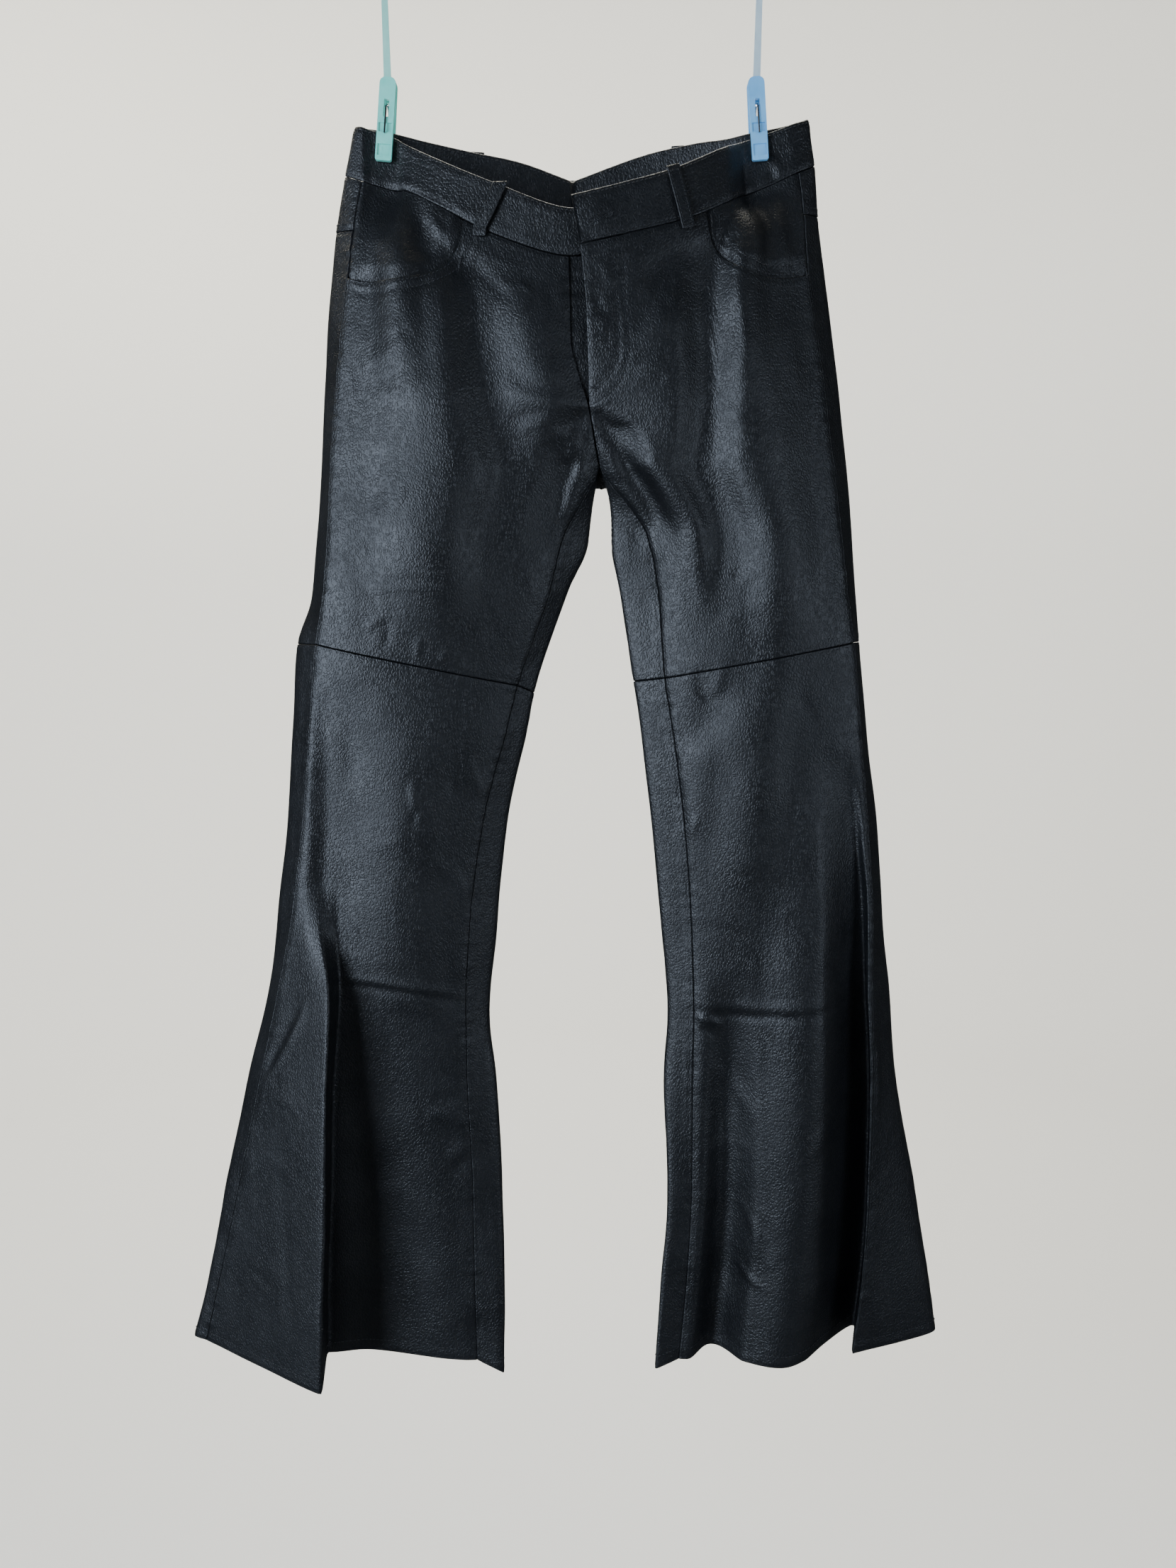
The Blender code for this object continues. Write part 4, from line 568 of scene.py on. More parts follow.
def leg_surfaces():
    """The front and back of both legs, with the normals of seams that meet made equal."""
    along = np.arange(HEM * DENSE_ROWS + 1) / DENSE_ROWS
    made = {}
    for leg in LEGS:
        front = front_surface(leg, along)
        back = back_surface(leg, along)
        front_edge = band_edge(leg, OUTSEAM_STATION, leg.front_station, "bottom")
        back_edge = band_edge(leg, len(leg.band) - 1, OUTSEAM_STATION, "bottom")
        front = join_band(leg, front, front_edge, along)
        back = join_band(leg, back, back_edge, along)
        made[leg.name] = (
            Surface(front, normals_of(front, leg.side)),
            Surface(back, normals_of(back, leg.side)),
        )
    fork = FORK * DENSE_ROWS
    hip = HIP * DENSE_ROWS
    for front, back in made.values():
        share_normals(front.normals[:, 0], back.normals[:, -1])
        share_normals(front.normals[fork:, -1], back.normals[fork:, 0])
    (left_front, left_back), (right_front, right_back) = made["left"], made["right"]
    share_normals(left_front.normals[hip:fork, -1], right_front.normals[hip:fork, -1])
    share_normals(left_back.normals[:fork, 0], right_back.normals[:fork, 0])
    return made


def crease_lift(rows, creases):
    """Sum of the creases over a surface's points: a bell of each one's width across its line, and
    a half sine along it, so that it dies out at both ends."""
    lift = np.zeros(rows.shape[:2])
    x, z = rows[..., 0], rows[..., 2]
    for c in creases:
        dx, dz = c.x1 - c.x0, c.z1 - c.z0
        length = math.hypot(dx, dz)
        t = ((x - c.x0) * dx + (z - c.z0) * dz) / length ** 2
        off = ((z - c.z0) * dx - (x - c.x0) * dz) / length - c.bow * 4 * t * (1 - t)
        near = (t > -0.1) & (t < 1.1) & (np.abs(off) < 4 * c.width)
        fade = np.sin(np.clip(t, 0, 1) * math.pi) ** 0.7
        lift += np.where(near, c.height * fade * np.exp(-(off / c.width) ** 2), 0.0)
    return lift


def waves(x, z, length, seed, count=7):
    """A soft uneven ground: sines of random heading, their length about `length` millimetres."""
    draw = np.random.default_rng(seed)
    total = np.zeros_like(x)
    for _ in range(count):
        heading, phase = draw.uniform(0, math.pi), draw.uniform(0, 2 * math.pi)
        pitch = 2 * math.pi / (length * draw.uniform(0.7, 1.5))
        total += np.sin((x * math.cos(heading) + z * math.sin(heading)) * pitch + phase)
    return total / math.sqrt(count)


def pucker(z, seed):
    """What a seam pulls up along its length: short uneven waves of z, in millimetres."""
    draw = np.random.default_rng(seed)
    total = np.zeros_like(z)
    for length in (9.0, 13.0, 21.0, 34.0):
        total += np.sin(z * 2 * math.pi / (length * draw.uniform(0.85, 1.2)) + draw.uniform(0, 6.3))
    return total / 2


def furrow(x, z, line, width, depth):
    """A furrow along a line of x and z: -depth * exp(-(distance / width)^2)."""
    nearest = np.full(np.shape(x), 1e9)
    for (x0, z0), (x1, z1) in zip(line[:-1], line[1:]):
        dx, dz = x1 - x0, z1 - z0
        t = np.clip(((x - x0) * dx + (z - z0) * dz) / (dx * dx + dz * dz), 0, 1)
        nearest = np.minimum(nearest, np.hypot(x - x0 - t * dx, z - z0 - t * dz))
    return -depth * np.exp(-(nearest / width) ** 2)


def mouth_stitches(leg, front, off, count):
    """A row of stitches `off` below a pocket's mouth, x and z."""
    angle = np.linspace(0.0, math.pi / 2, count)
    power = 2 / leg.mouth.power
    across = np.clip(leg.mouth.width * np.sin(angle) ** power, 0.012, 1)
    edge, edge_normal = front.path(POCKET_DEPTH * np.cos(angle) ** power, across)
    target = edge + unit(np.cross(unit(np.gradient(edge, axis=0)), edge_normal)) * off
    return target[target[:, 2] < edge[-1, 2] - 1.5][:, [0, 2]]


def finished_surfaces():
    """Both legs' fronts and backs with their creases, their uneven ground, the furrows that stitches
    draw, and the puckers of their seams, which are the same on both sides of a seam."""
    made = leg_surfaces()
    for leg in LEGS:
        seed = 3 if leg.side < 0 else 11
        for number, surface in enumerate(made[leg.name]):
            rows = surface.rows
            z = rows[..., 2]
            f = np.linspace(0, 1, DENSE_COLUMNS)[None, :]
            outer_edge = f if number == 0 else 1 - f
            width = np.linalg.norm(np.diff(rows, axis=1), axis=-1).sum(axis=1)[:, None]
            clear = smooth(np.minimum(outer_edge, 1 - outer_edge) * width / CALM_EDGE)
            lift = crease_lift(rows, leg_creases(leg.name, number)) * clear
            lift += 0.25 * waves(rows[..., 0], z, 60.0, seed + number) * clear
            if number == 0:
                lift += furrow(rows[..., 0], z, mouth_stitches(leg, surface, MOUTH_ROWS[1], 40), 1.8, 0.45)
                if leg.side > 0:
                    for line in (FLY_OUTER, FLY_INNER):
                        lift += furrow(rows[..., 0], z, curve(line, 30), 1.7, 0.6)
                    lift += furrow(rows[..., 0], z, curve(FLY_OUTER, 30), 6.0, -0.3)
            for edge, name in ((outer_edge, 1), (1 - outer_edge, 2)):
                distance = edge * width
                band = np.exp(-(distance / 7.0) ** 2)
                lift += 0.28 * pucker(z, seed + 20 * name) * band
            fade = np.clip(np.arange(len(rows)) / (0.5 * DENSE_ROWS), 0, 1)[:, None]
            surface.rows = rows + surface.normals * (lift * fade)[..., None]
            surface.normals = normals_of(surface.rows, leg.side)
        front, back = made[leg.name]
        fork = FORK * DENSE_ROWS
        share_normals(front.normals[:, 0], back.normals[:, -1])
        share_normals(front.normals[fork:, -1], back.normals[fork:, 0])
    return made


# ---------------------------------------------------------------- meshes
def put(name, vertices, faces, finish, stands_for=()):
    """A mesh of this object from points in millimetres, ridden on the one body."""
    mesh = bpy.data.meshes.new(name)
    vertices = np.asarray(vertices, float).reshape(-1, 3) * 0.001
    faces = np.asarray(faces, int)
    corners = faces.shape[1]
    mesh.vertices.add(len(vertices))
    mesh.vertices.foreach_set("co", vertices.ravel())
    mesh.loops.add(faces.size)
    mesh.loops.foreach_set("vertex_index", faces.ravel())
    mesh.polygons.add(len(faces))
    mesh.polygons.foreach_set("loop_start", np.arange(0, faces.size, corners))
    mesh.polygons.foreach_set("loop_total", np.full(len(faces), corners))
    mesh.update(calc_edges=True)
    mesh.validate()
    mesh.shade_smooth()
    made = bpy.data.objects.new(name, mesh)
    bpy.context.scene.collection.objects.link(made)
    mesh.materials.append(finish)
    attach(made, "root")
    if stands_for:
        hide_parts(*stands_for)
    return made


def grid_faces(rows, count, flip=False, closed=False):
    """Quads of a grid of points, rows by count, closed round its rows where asked."""
    index = np.arange(rows * count).reshape(rows, count)
    if closed:
        index = np.concatenate([index, index[:, :1]], axis=1)
    quads = np.stack([index[:-1, :-1], index[:-1, 1:], index[1:, 1:], index[1:, :-1]], -1).reshape(-1, 4)
    return quads[:, ::-1] if flip else quads


SEAM_STEPS = np.array([0.0, 0.35, 0.8, 1.4, 2.1, 3.0, 4.2, 5.8])


def seam_spaced(length):
    """Distances along a row of that length: fine steps beside its two ends, even ones between."""
    count = max(2, int(round((length - 2 * SEAM_STEPS[-1]) / GRID)) + 1)
    middle = np.linspace(SEAM_STEPS[-1], length - SEAM_STEPS[-1], count)
    return np.concatenate([SEAM_STEPS[:-1], middle, (length - SEAM_STEPS[:-1])[::-1]])


def edge_sink(distance):
    """How far the cloth dips at a distance from its seam: a quarter round of radius ROLL, then a
    shallow furrow under the row of stitches 2 mm in."""
    d = np.clip(distance / (2 * ROLL), 0, 1)
    roll = ROLL * (1 - np.sqrt(1 - (1 - d) ** 2))
    furrow = 0.12 * np.exp(-((distance - 2.2) / 0.8) ** 2) - 0.16 * np.exp(-((distance - 5.0) / 2.6) ** 2)
    return roll + furrow


def with_returns(distances, length, first, last):
    """Distances and how far inward each lies, with the two edges run back inside: RETURN deep, or as
    deep as first and last say."""
    inside = CLOTH + 0.5
    own = np.minimum(distances, length - distances)
    sink = edge_sink(own)
    lead = np.array([first, first * 0.4, 0.0]), np.array([inside, inside, ROLL + 0.8])
    tail = np.array([length, length - last * 0.4, length - last]), np.array([ROLL + 0.8, inside, inside])
    return np.concatenate([lead[0], distances, tail[0]]), np.concatenate([lead[1], sink, tail[1]])


def cloth_panel(name, leg, surface, left, right, top, bottom, node, finish, hem):
    """A sewn panel: the leg's surface between across left and right, and along top(across) and
    bottom(across), its four edges rolled in."""
    middle = 0.5 * (top(0.5 * (left + right)) + bottom(0.5 * (left + right)))
    row = surface.length(middle)
    width = row * (right - left)
    mid = surface.at(np.linspace(float(np.max(top(np.array([right])))), float(bottom(np.array([right]))[0]), 80),
                     0.5 * (left + right))
    height = float(np.linalg.norm(np.diff(mid, axis=0), axis=1).sum())
    u, u_in = with_returns(seam_spaced(width), width, RETURN, RETURN)
    v, v_in = with_returns(seam_spaced(height), height, RETURN, hem)
    across = (left + (right - left) * u / width)[None, :]
    start, end = top(across), bottom(across)
    along = start + (end - start) * (v / height)[:, None]
    u_in, v_in = u_in[None, :], v_in[:, None]
    inward = np.where((u_in < ROLL) & (v_in < ROLL), u_in + v_in, np.maximum(u_in, v_in))
    points = surface.at(along, across, inward[..., None])
    return put(name, points, grid_faces(len(v), len(u), flip=leg.side > 0), finish, (node,))


def constant(value):
    return lambda across: np.full(np.shape(across), float(value))


def gap_share(surface, along):
    return SEAM_GAP / 2 / surface.length(along)


def section_gap(leg, along):
    """Half a seam gap as a share of a section, at along."""
    z = columns(leg, np.array([along, along + 0.5])).z_out
    return SEAM_GAP / 2 / abs(z[1] - z[0]) * 0.5


def mouth_line(leg, across):
    """The section of a pocket's mouth at across: a quarter of a superellipse, 0 past its end."""
    share = np.clip(across / leg.mouth.width, 0, 1)
    return POCKET_DEPTH * (1 - share ** leg.mouth.power) ** (1 / leg.mouth.power)


# ---------------------------------------------------------------- materials
def linear(hex_colour):
    """An sRGB hex colour as linear values with alpha 1."""
    values = []
    for k in (0, 2, 4):
        c = int(hex_colour[k:k + 2], 16) / 255
        values.append(c / 12.92 if c <= 0.04045 else ((c + 0.055) / 1.055) ** 2.4)
    return (*values, 1.0)


def add_node(tree, kind, settings=None, values=None, links=None):
    """A node of that kind with its settings, its sockets' values, and links {socket: output}."""
    made = tree.nodes.new(kind)
    for key, value in (settings or {}).items():
        setattr(made, key, value)
    for key, value in (values or {}).items():
        made.inputs[key].default_value = value
    for key, output in (links or {}).items():
        tree.links.new(output, made.inputs[key])
    return made


def new_material(name, **sockets):
    """A material, its tree, its shader and its Object coordinates; sockets are the shader's own."""
    made = bpy.data.materials.new(name)
    made.use_nodes = True
    tree = made.node_tree
    skin = tree.nodes["Principled BSDF"]
    for key, value in sockets.items():
        skin.inputs[key.replace("_", " ")].default_value = value
    return made, tree, skin, add_node(tree, "ShaderNodeTexCoord").outputs["Object"]


def embossed_faux_leather():
    """Polyurethane faux leather: knitted cloth under a black plastic skin, embossed with a pebble grain
    of about 1.3 mm and drawn here at 2.2 mm so that it shows. To the eye: near black with a cold satin
    sheen, broken up by the grain and by fine crumples where the cloth has been folded."""
    made, tree, skin, place = new_material("embossed_faux_leather", IOR=1.5, Specular_IOR_Level=0.6)
    # pebbles stand between grooves, a little longer than wide and pushed about by a coarser noise
    push = add_node(tree, "ShaderNodeTexNoise", {}, {"Scale": 1 / 0.008, "Detail": 2.0}, {"Vector": place})
    pushed = add_node(tree, "ShaderNodeMix", {"data_type": "VECTOR"}, {"Factor": 0.004},
                      {"A": place, "B": push.outputs["Color"]})
    longer = add_node(tree, "ShaderNodeMapping", {}, {"Rotation": (0.0, 0.3, 0.0), "Scale": (1.0, 1.0, 0.7)},
                      {"Vector": pushed.outputs[1]})
    pebble = add_node(tree, "ShaderNodeTexVoronoi", {"feature": "DISTANCE_TO_EDGE"},
                      {"Scale": 1 / 0.0022, "Randomness": 1.0}, {"Vector": longer.outputs["Vector"]})
    pebble_round = add_node(tree, "ShaderNodeMapRange", {"interpolation_type": "SMOOTHSTEP"},
                            {"From Min": 0.0, "From Max": 0.3, "To Min": 0.0, "To Max": 1.0},
                            {"Value": pebble.outputs["Distance"]})
    # crumples: creased cells about 5 by 14 mm on a slant, in patches 60 mm across
    slant = add_node(tree, "ShaderNodeMapping", {}, {"Rotation": (0.0, 0.5, 0.0), "Scale": (1.0, 1.0, 0.38)},
                     {"Vector": pushed.outputs[1]})
    crumple = add_node(tree, "ShaderNodeTexNoise", {"noise_type": "RIDGED_MULTIFRACTAL"},
                       {"Scale": 1 / 0.009, "Detail": 3.0, "Roughness": 0.6, "Lacunarity": 2.1, "Distortion": 0.8},
                       {"Vector": slant.outputs["Vector"]})
    where = add_node(tree, "ShaderNodeTexNoise", {}, {"Scale": 1 / 0.06, "Detail": 2.0}, {"Vector": place})
    where_mask = add_node(tree, "ShaderNodeMapRange", {"interpolation_type": "SMOOTHSTEP"},
                          {"From Min": 0.4, "From Max": 0.6, "To Min": 0.15, "To Max": 1.0},
                          {"Value": where.outputs["Fac"]})
    crumple_here = add_node(tree, "ShaderNodeMath", {"operation": "MULTIPLY"}, None,
                            {0: crumple.outputs["Fac"], 1: where_mask.outputs["Result"]})
    ground = add_node(tree, "ShaderNodeTexNoise", {}, {"Scale": 1 / 0.022, "Detail": 2.0, "Roughness": 0.5},
                      {"Vector": slant.outputs["Vector"]})
    bump_ground = add_node(tree, "ShaderNodeBump", {}, {"Strength": 0.4, "Distance": 0.0012},
                           {"Height": ground.outputs["Fac"]})
    bump_crumple = add_node(tree, "ShaderNodeBump", {}, {"Strength": 0.65, "Distance": 0.0004},
                            {"Height": crumple_here.outputs["Value"], "Normal": bump_ground.outputs["Normal"]})
    bump_pebble = add_node(tree, "ShaderNodeBump", {}, {"Strength": 0.6, "Distance": 0.00025},
                           {"Height": pebble_round.outputs["Result"], "Normal": bump_crumple.outputs["Normal"]})
    tree.links.new(bump_pebble.outputs["Normal"], skin.inputs["Normal"])
    # duller where the skin is rubbed
    rub = add_node(tree, "ShaderNodeTexNoise", {}, {"Scale": 1 / 0.04, "Detail": 4.0}, {"Vector": place})
    rough = add_node(tree, "ShaderNodeMapRange", {}, {"From Min": 0.3, "From Max": 0.7, "To Min": 0.40, "To Max": 0.50},
                     {"Value": rub.outputs["Fac"]})
    tree.links.new(rough.outputs["Result"], skin.inputs["Roughness"])
    tint = add_node(tree, "ShaderNodeMix", {"data_type": "RGBA"},
                    {"A": linear("090b0e"), "B": linear("101317")}, {"Factor": rub.outputs["Fac"]})
    tree.links.new(tint.outputs["Result"], skin.inputs["Base Color"])
    return made


def polyester_thread():
    """Spun polyester sewing thread, black: dull, with a fine twist of about 0.6 mm."""
    made, tree, skin, place = new_material("polyester_thread", Base_Color=linear("26282c"), Roughness=0.55)
    twist = add_node(tree, "ShaderNodeTexNoise", {}, {"Scale": 1 / 0.0006, "Detail": 1.0}, {"Vector": place})
    bump = add_node(tree, "ShaderNodeBump", {}, {"Strength": 0.5, "Distance": 0.0001}, {"Height": twist.outputs["Fac"]})
    tree.links.new(bump.outputs["Normal"], skin.inputs["Normal"])
    return made


def moulded_plastic(name, colour, deep, roughness=0.28):
    """Injection-moulded polypropylene: glossy, a little cloudy, faintly uneven as it left the mould."""
    made, tree, skin, place = new_material(name, Roughness=roughness, IOR=1.49, Subsurface_Weight=0.25,
                                           Subsurface_Radius=(0.002, 0.002, 0.002))
    flow = add_node(tree, "ShaderNodeTexNoise", {}, {"Scale": 1 / 0.012, "Detail": 2.0}, {"Vector": place})
    tint = add_node(tree, "ShaderNodeMix", {"data_type": "RGBA"}, {"A": linear(deep), "B": linear(colour)},
                    {"Factor": flow.outputs["Fac"]})
    tree.links.new(tint.outputs["Result"], skin.inputs["Base Color"])
    orange_peel = add_node(tree, "ShaderNodeTexNoise", {}, {"Scale": 1 / 0.0015, "Detail": 2.0}, {"Vector": place})
    bump = add_node(tree, "ShaderNodeBump", {}, {"Strength": 0.15, "Distance": 0.0002},
                    {"Height": orange_peel.outputs["Fac"]})
    tree.links.new(bump.outputs["Normal"], skin.inputs["Normal"])
    return made


def drawn_steel(name, colour, roughness, grain):
    """Bright steel, drawn or ground: fine lines of about `grain` metres run along the piece."""
    made, tree, skin, place = new_material(name, Base_Color=linear(colour), Metallic=1.0)
    lines = add_node(tree, "ShaderNodeMapping", {}, {"Scale": (0.02, 1.0, 1.0)}, {"Vector": place})
    scratch = add_node(tree, "ShaderNodeTexNoise", {}, {"Scale": 1 / grain, "Detail": 3.0},
                       {"Vector": lines.outputs["Vector"]})
    rough = add_node(tree, "ShaderNodeMapRange", {}, {"To Min": roughness - 0.07, "To Max": roughness + 0.09},
                     {"Value": scratch.outputs["Fac"]})
    tree.links.new(rough.outputs["Result"], skin.inputs["Roughness"])
    bump = add_node(tree, "ShaderNodeBump", {}, {"Strength": 0.12, "Distance": 0.00005},
                    {"Height": scratch.outputs["Fac"]})
    tree.links.new(bump.outputs["Normal"], skin.inputs["Normal"])
    return made


def woven_tape():
    """Woven polyester zip tape: dull black ribs 0.7 mm apart."""
    made, tree, skin, place = new_material("woven_tape", Base_Color=linear("17181a"), Roughness=0.85)
    ribs = add_node(tree, "ShaderNodeTexWave", {"bands_direction": "Z"}, {"Scale": 1 / 0.0044, "Distortion": 0.4},
                    {"Vector": place})
    bump = add_node(tree, "ShaderNodeBump", {}, {"Strength": 0.6, "Distance": 0.0002}, {"Height": ribs.outputs["Fac"]})
    tree.links.new(bump.outputs["Normal"], skin.inputs["Normal"])
    return made


# ---------------------------------------------------------------- panels
# name, which surface (0 front, 1 back), the section where its seam gap is measured, from and to which
# section, flat size in metres, what it hangs from, and the area of its left and right cut
Panel = namedtuple("Panel", "name back gap_at top bottom flat hangs_from areas")
PANELS = (
    Panel("front_thigh", 0, 3.0, WAIST, KNEE, (0.235, 0.345), "waistband", (0.065, 0.065)),
    Panel("front_shin", 0, 12.0, KNEE, HEM, (0.325, 0.66), "front_thigh", (0.16, 0.15)),
    Panel("back_yoke", 1, 1.5, WAIST, YOKE, (0.2, 0.062), "waistband", (0.012, 0.012)),
    Panel("back_thigh", 1, 1.5, YOKE, KNEE, (0.26, 0.35), "back_yoke", (0.08, 0.08)),
    Panel("back_shin", 1, 12.0, KNEE, HEM, (0.36, 0.66), "back_thigh", (0.18, 0.18)),
)


def build_panels(surfaces, leather):
    """The sewn panels: the front thigh ends above at its pocket's mouth, the shins in a hem."""
    for leg in LEGS:
        for panel in PANELS:
            surface = surfaces[leg.name][panel.back]
            gap = gap_share(surface, panel.gap_at) * SEAM_CLOSED
            top = constant(panel.top + (section_gap(leg, panel.top) if panel.top else 0.0))
            if panel.name == "front_thigh":
                top = lambda across, leg=leg: mouth_line(leg, across)
            bottom = constant(panel.bottom - (section_gap(leg, panel.bottom) if panel.bottom < HEM else 0.0))
            node = panel.name + "_" + leg.name
            made = cloth_panel(panel.name + "_cloth_" + leg.name, leg, surface, gap, 1 - gap, top, bottom, node,
                               leather, hem=HEM_DEPTH if panel.bottom == HEM else RETURN)
        build_facing(leg, surfaces[leg.name][0], leather)


def build_facing(leg, front, leather):
    """The cloth inside a pocket's mouth: flush with the hip above, then dipping behind the mouth's
    edge. Its shift inward is FACING_SINK plus a smooth step to CLOTH + 1.0 over its last 12 mm."""
    gap = gap_share(front, 1.0)
    u = np.concatenate([[gap], np.linspace(gap, leg.mouth.width + 0.035, 60)[1:]])
    line = mouth_line(leg, u)
    v = np.linspace(0, 1, 46)[:, None]
    along = (line + POCKET_HEM / SECTION_STEP)[None, :] * v
    row = front.length(1.0)
    distance = (line[None, :] - along) * SECTION_STEP
    sideways = (leg.mouth.width - u)[None, :] * row
    near = np.minimum(distance, sideways + 0 * distance)
    dip = 12.0 * np.clip(u * row / 14.0, 0.08, 1)
    covered = smooth(1 - near / dip[None, :])
    inward = FACING_SINK + (CLOTH + 1.2 - FACING_SINK) * covered
    inward += edge_sink((u - gap) * row)[None, :]
    points = front.at(along, np.broadcast_to(u, along.shape), inward[..., None])
    piece = put("pocket_facing_cloth_" + leg.name, points, grid_faces(*along.shape, flip=leg.side > 0), leather,
                ("pocket_facing_" + leg.name,))


# ---------------------------------------------------------------- waistband
def band_outer(leg):
    """Top edge, bottom edge and outward normal of the band at its stations."""
    last = len(leg.band) - 1
    top = band_edge(leg, 0, last, "top", BAND_STEPS).copy()
    bottom = band_edge(leg, 0, last, "bottom", BAND_STEPS).copy()
    top[-1, 0] += leg.side * SEAM_GAP / 2
    bottom[-1, 0] += leg.side * SEAM_GAP / 2
    normal = unit(np.cross(bottom - top, np.gradient(0.5 * (top + bottom), axis=0)) * leg.side)
    return top, bottom, normal


def band_lift(leg, points):
    """How far the band's outer face stands out: its creases in front, its uneven ground, and the
    swell over the button behind the buttonhole."""
    x, z = points[..., 0], points[..., 2]
    station = np.arange(points.shape[1]) / BAND_STEPS
    front = np.clip((OUTSEAM_STATION + 0.6 - station) * 2, 0, 1)
    lift = crease_lift(points, leg_creases(leg.name, 0)) * front[None, :]
    lift += 0.30 * waves(x + 900 * (points[..., 1] > 0), z, 38.0, 5 + int(leg.side))
    if leg.side > 0:
        away = np.hypot(x - BUTTON_SWELL[0], (z - BUTTON_SWELL[1]) * 1.25)
        lift += front[None, :] * (1.3 * np.exp(-(away / 9.5) ** 2) + 0.4 * np.exp(-((away - 12.5) / 2.2) ** 2))
        lift += front[None, :] * (furrow(x, z, BUTTONHOLE, 2.9, -0.45) + furrow(x, z, BUTTONHOLE, 1.2, 1.3))
    return lift


def build_waistband(leg, leather):
    """A closed profile carried along the stations: outer face, rounded top, inner face, bottom.
    The outer face stands out by band_lift away from its edges; near both edges it rolls in over 1.4 mm, dips under the
    rows of stitches, rises a little just inside them and puckers along them."""
    top, bottom, normal = band_outer(leg)
    h = np.concatenate([[0.0, 0.008, 0.03, 0.06, 0.09], np.linspace(0.14, 0.86, 13), [0.91, 0.94, 0.97, 0.992, 1.0]])
    face = top[None] + (bottom - top)[None] * h[:, None, None]
    lift = band_lift(leg, face)
    steps = np.linalg.norm(bottom - top, axis=1)[None, :]
    edge = np.minimum(h, 1 - h)[:, None] * steps
    roll = -0.75 * (1 - np.sqrt(1 - (1 - np.clip(edge / 1.4, 0, 1)) ** 2))
    furrow = -0.18 * np.exp(-((edge - 2.4) / 0.8) ** 2) + 0.22 * np.exp(-((edge - 5.5) / 3.0) ** 2)
    run = run_along(top)
    pull = 0.16 * pucker(run, 40 + int(leg.side))[None, :] * np.exp(-(edge / 6.0) ** 2)
    calm = np.clip(edge / 4.0, 0, 1)
    outer = face + normal[None] * (lift * calm + roll + furrow + pull)[..., None]
    pull_inside = 0.12 * pucker(run, 77)[None, :] * np.exp(-(edge[::-1] / 6.0) ** 2)
    inner = (face - normal[None] * BAND)[::-1] + normal[None] * (pull_inside - roll[::-1])[..., None]
    ring = np.swapaxes(np.concatenate([outer, inner], axis=0), 0, 1)
    first, last = (np.repeat(end.mean(axis=1, keepdims=True), ring.shape[1], 1) for end in (ring[:1], ring[-1:]))
    ring = np.concatenate([first, ring[:1], ring, ring[-1:], last], axis=0)
    faces = grid_faces(ring.shape[0], ring.shape[1], flip=leg.side < 0, closed=True)
    piece = put("waistband_cloth_" + leg.name, ring, faces, leather, ("waistband_" + leg.name,))
    return outer, normal


def band_point(leg, station, height):
    """Point of the band's outer face and its normal at a station and a height, 0 its top edge."""
    top, bottom, normal = band_outer(leg)
    at = np.clip(np.asarray(station, float) * BAND_STEPS, 0, len(top) - 1.001)
    i = np.floor(at).astype(int)
    d = (at - i)[..., None]
    upper, lower = top[i] * (1 - d) + top[i + 1] * d, bottom[i] * (1 - d) + bottom[i + 1] * d
    n = unit(normal[i] * (1 - d) + normal[i + 1] * d)
    return upper + (lower - upper) * np.asarray(height, float)[..., None], n


# ---------------------------------------------------------------- stitches
class Stitching:
    """Rows of stitches gathered into one mesh: each stitch is a spindle of thread, four sided, that
    rises out of the cloth, lies over it and goes back in."""

    def __init__(self):
        self.points, self.faces, self.total = [], [], 0

    def row(self, path, normal, pitch=STITCH, thread=THREAD, lift=0.22):
        """Stitches of one row along a path of points with its normals."""
        run = run_along(path)
        count = max(1, int(run[-1] / pitch))
        start = (np.arange(count) + 0.1) * run[-1] / count
        t = np.array([0.0, 0.14, 0.5, 0.86, 1.0])
        at = start[:, None] + t[None, :] * (run[-1] / count) * 0.8
        centre = np.stack([np.interp(at, run, path[:, k]) for k in range(3)], -1)
        up = unit(np.stack([np.interp(at, run, normal[:, k]) for k in range(3)], -1))
        forward = unit(np.gradient(centre, axis=1))
        sideways = unit(np.cross(forward, up))
        centre = centre + up * (np.array([-0.45, 0.12, 0.3, 0.12, -0.45]) * lift / 0.22)[None, :, None]
        size = np.array([0.35, 0.9, 1.0, 0.9, 0.35])[None, :, None, None] * thread
        angle = np.arange(4) * math.pi / 2 + math.pi / 4
        ring = (centre[:, :, None] + size * (sideways[:, :, None] * np.cos(angle)[None, None, :, None]
                                            + up[:, :, None] * np.sin(angle)[None, None, :, None]))
        self.points.append(ring.reshape(-1, 3))
        one = grid_faces(5, 4, closed=True)
        self.faces.append((one[None] + (np.arange(count) * 20)[:, None, None]).reshape(-1, 4) + self.total)
        self.total += count * 20

    def finish(self, name, thread):
        put(name, np.concatenate(self.points), np.concatenate(self.faces), thread)


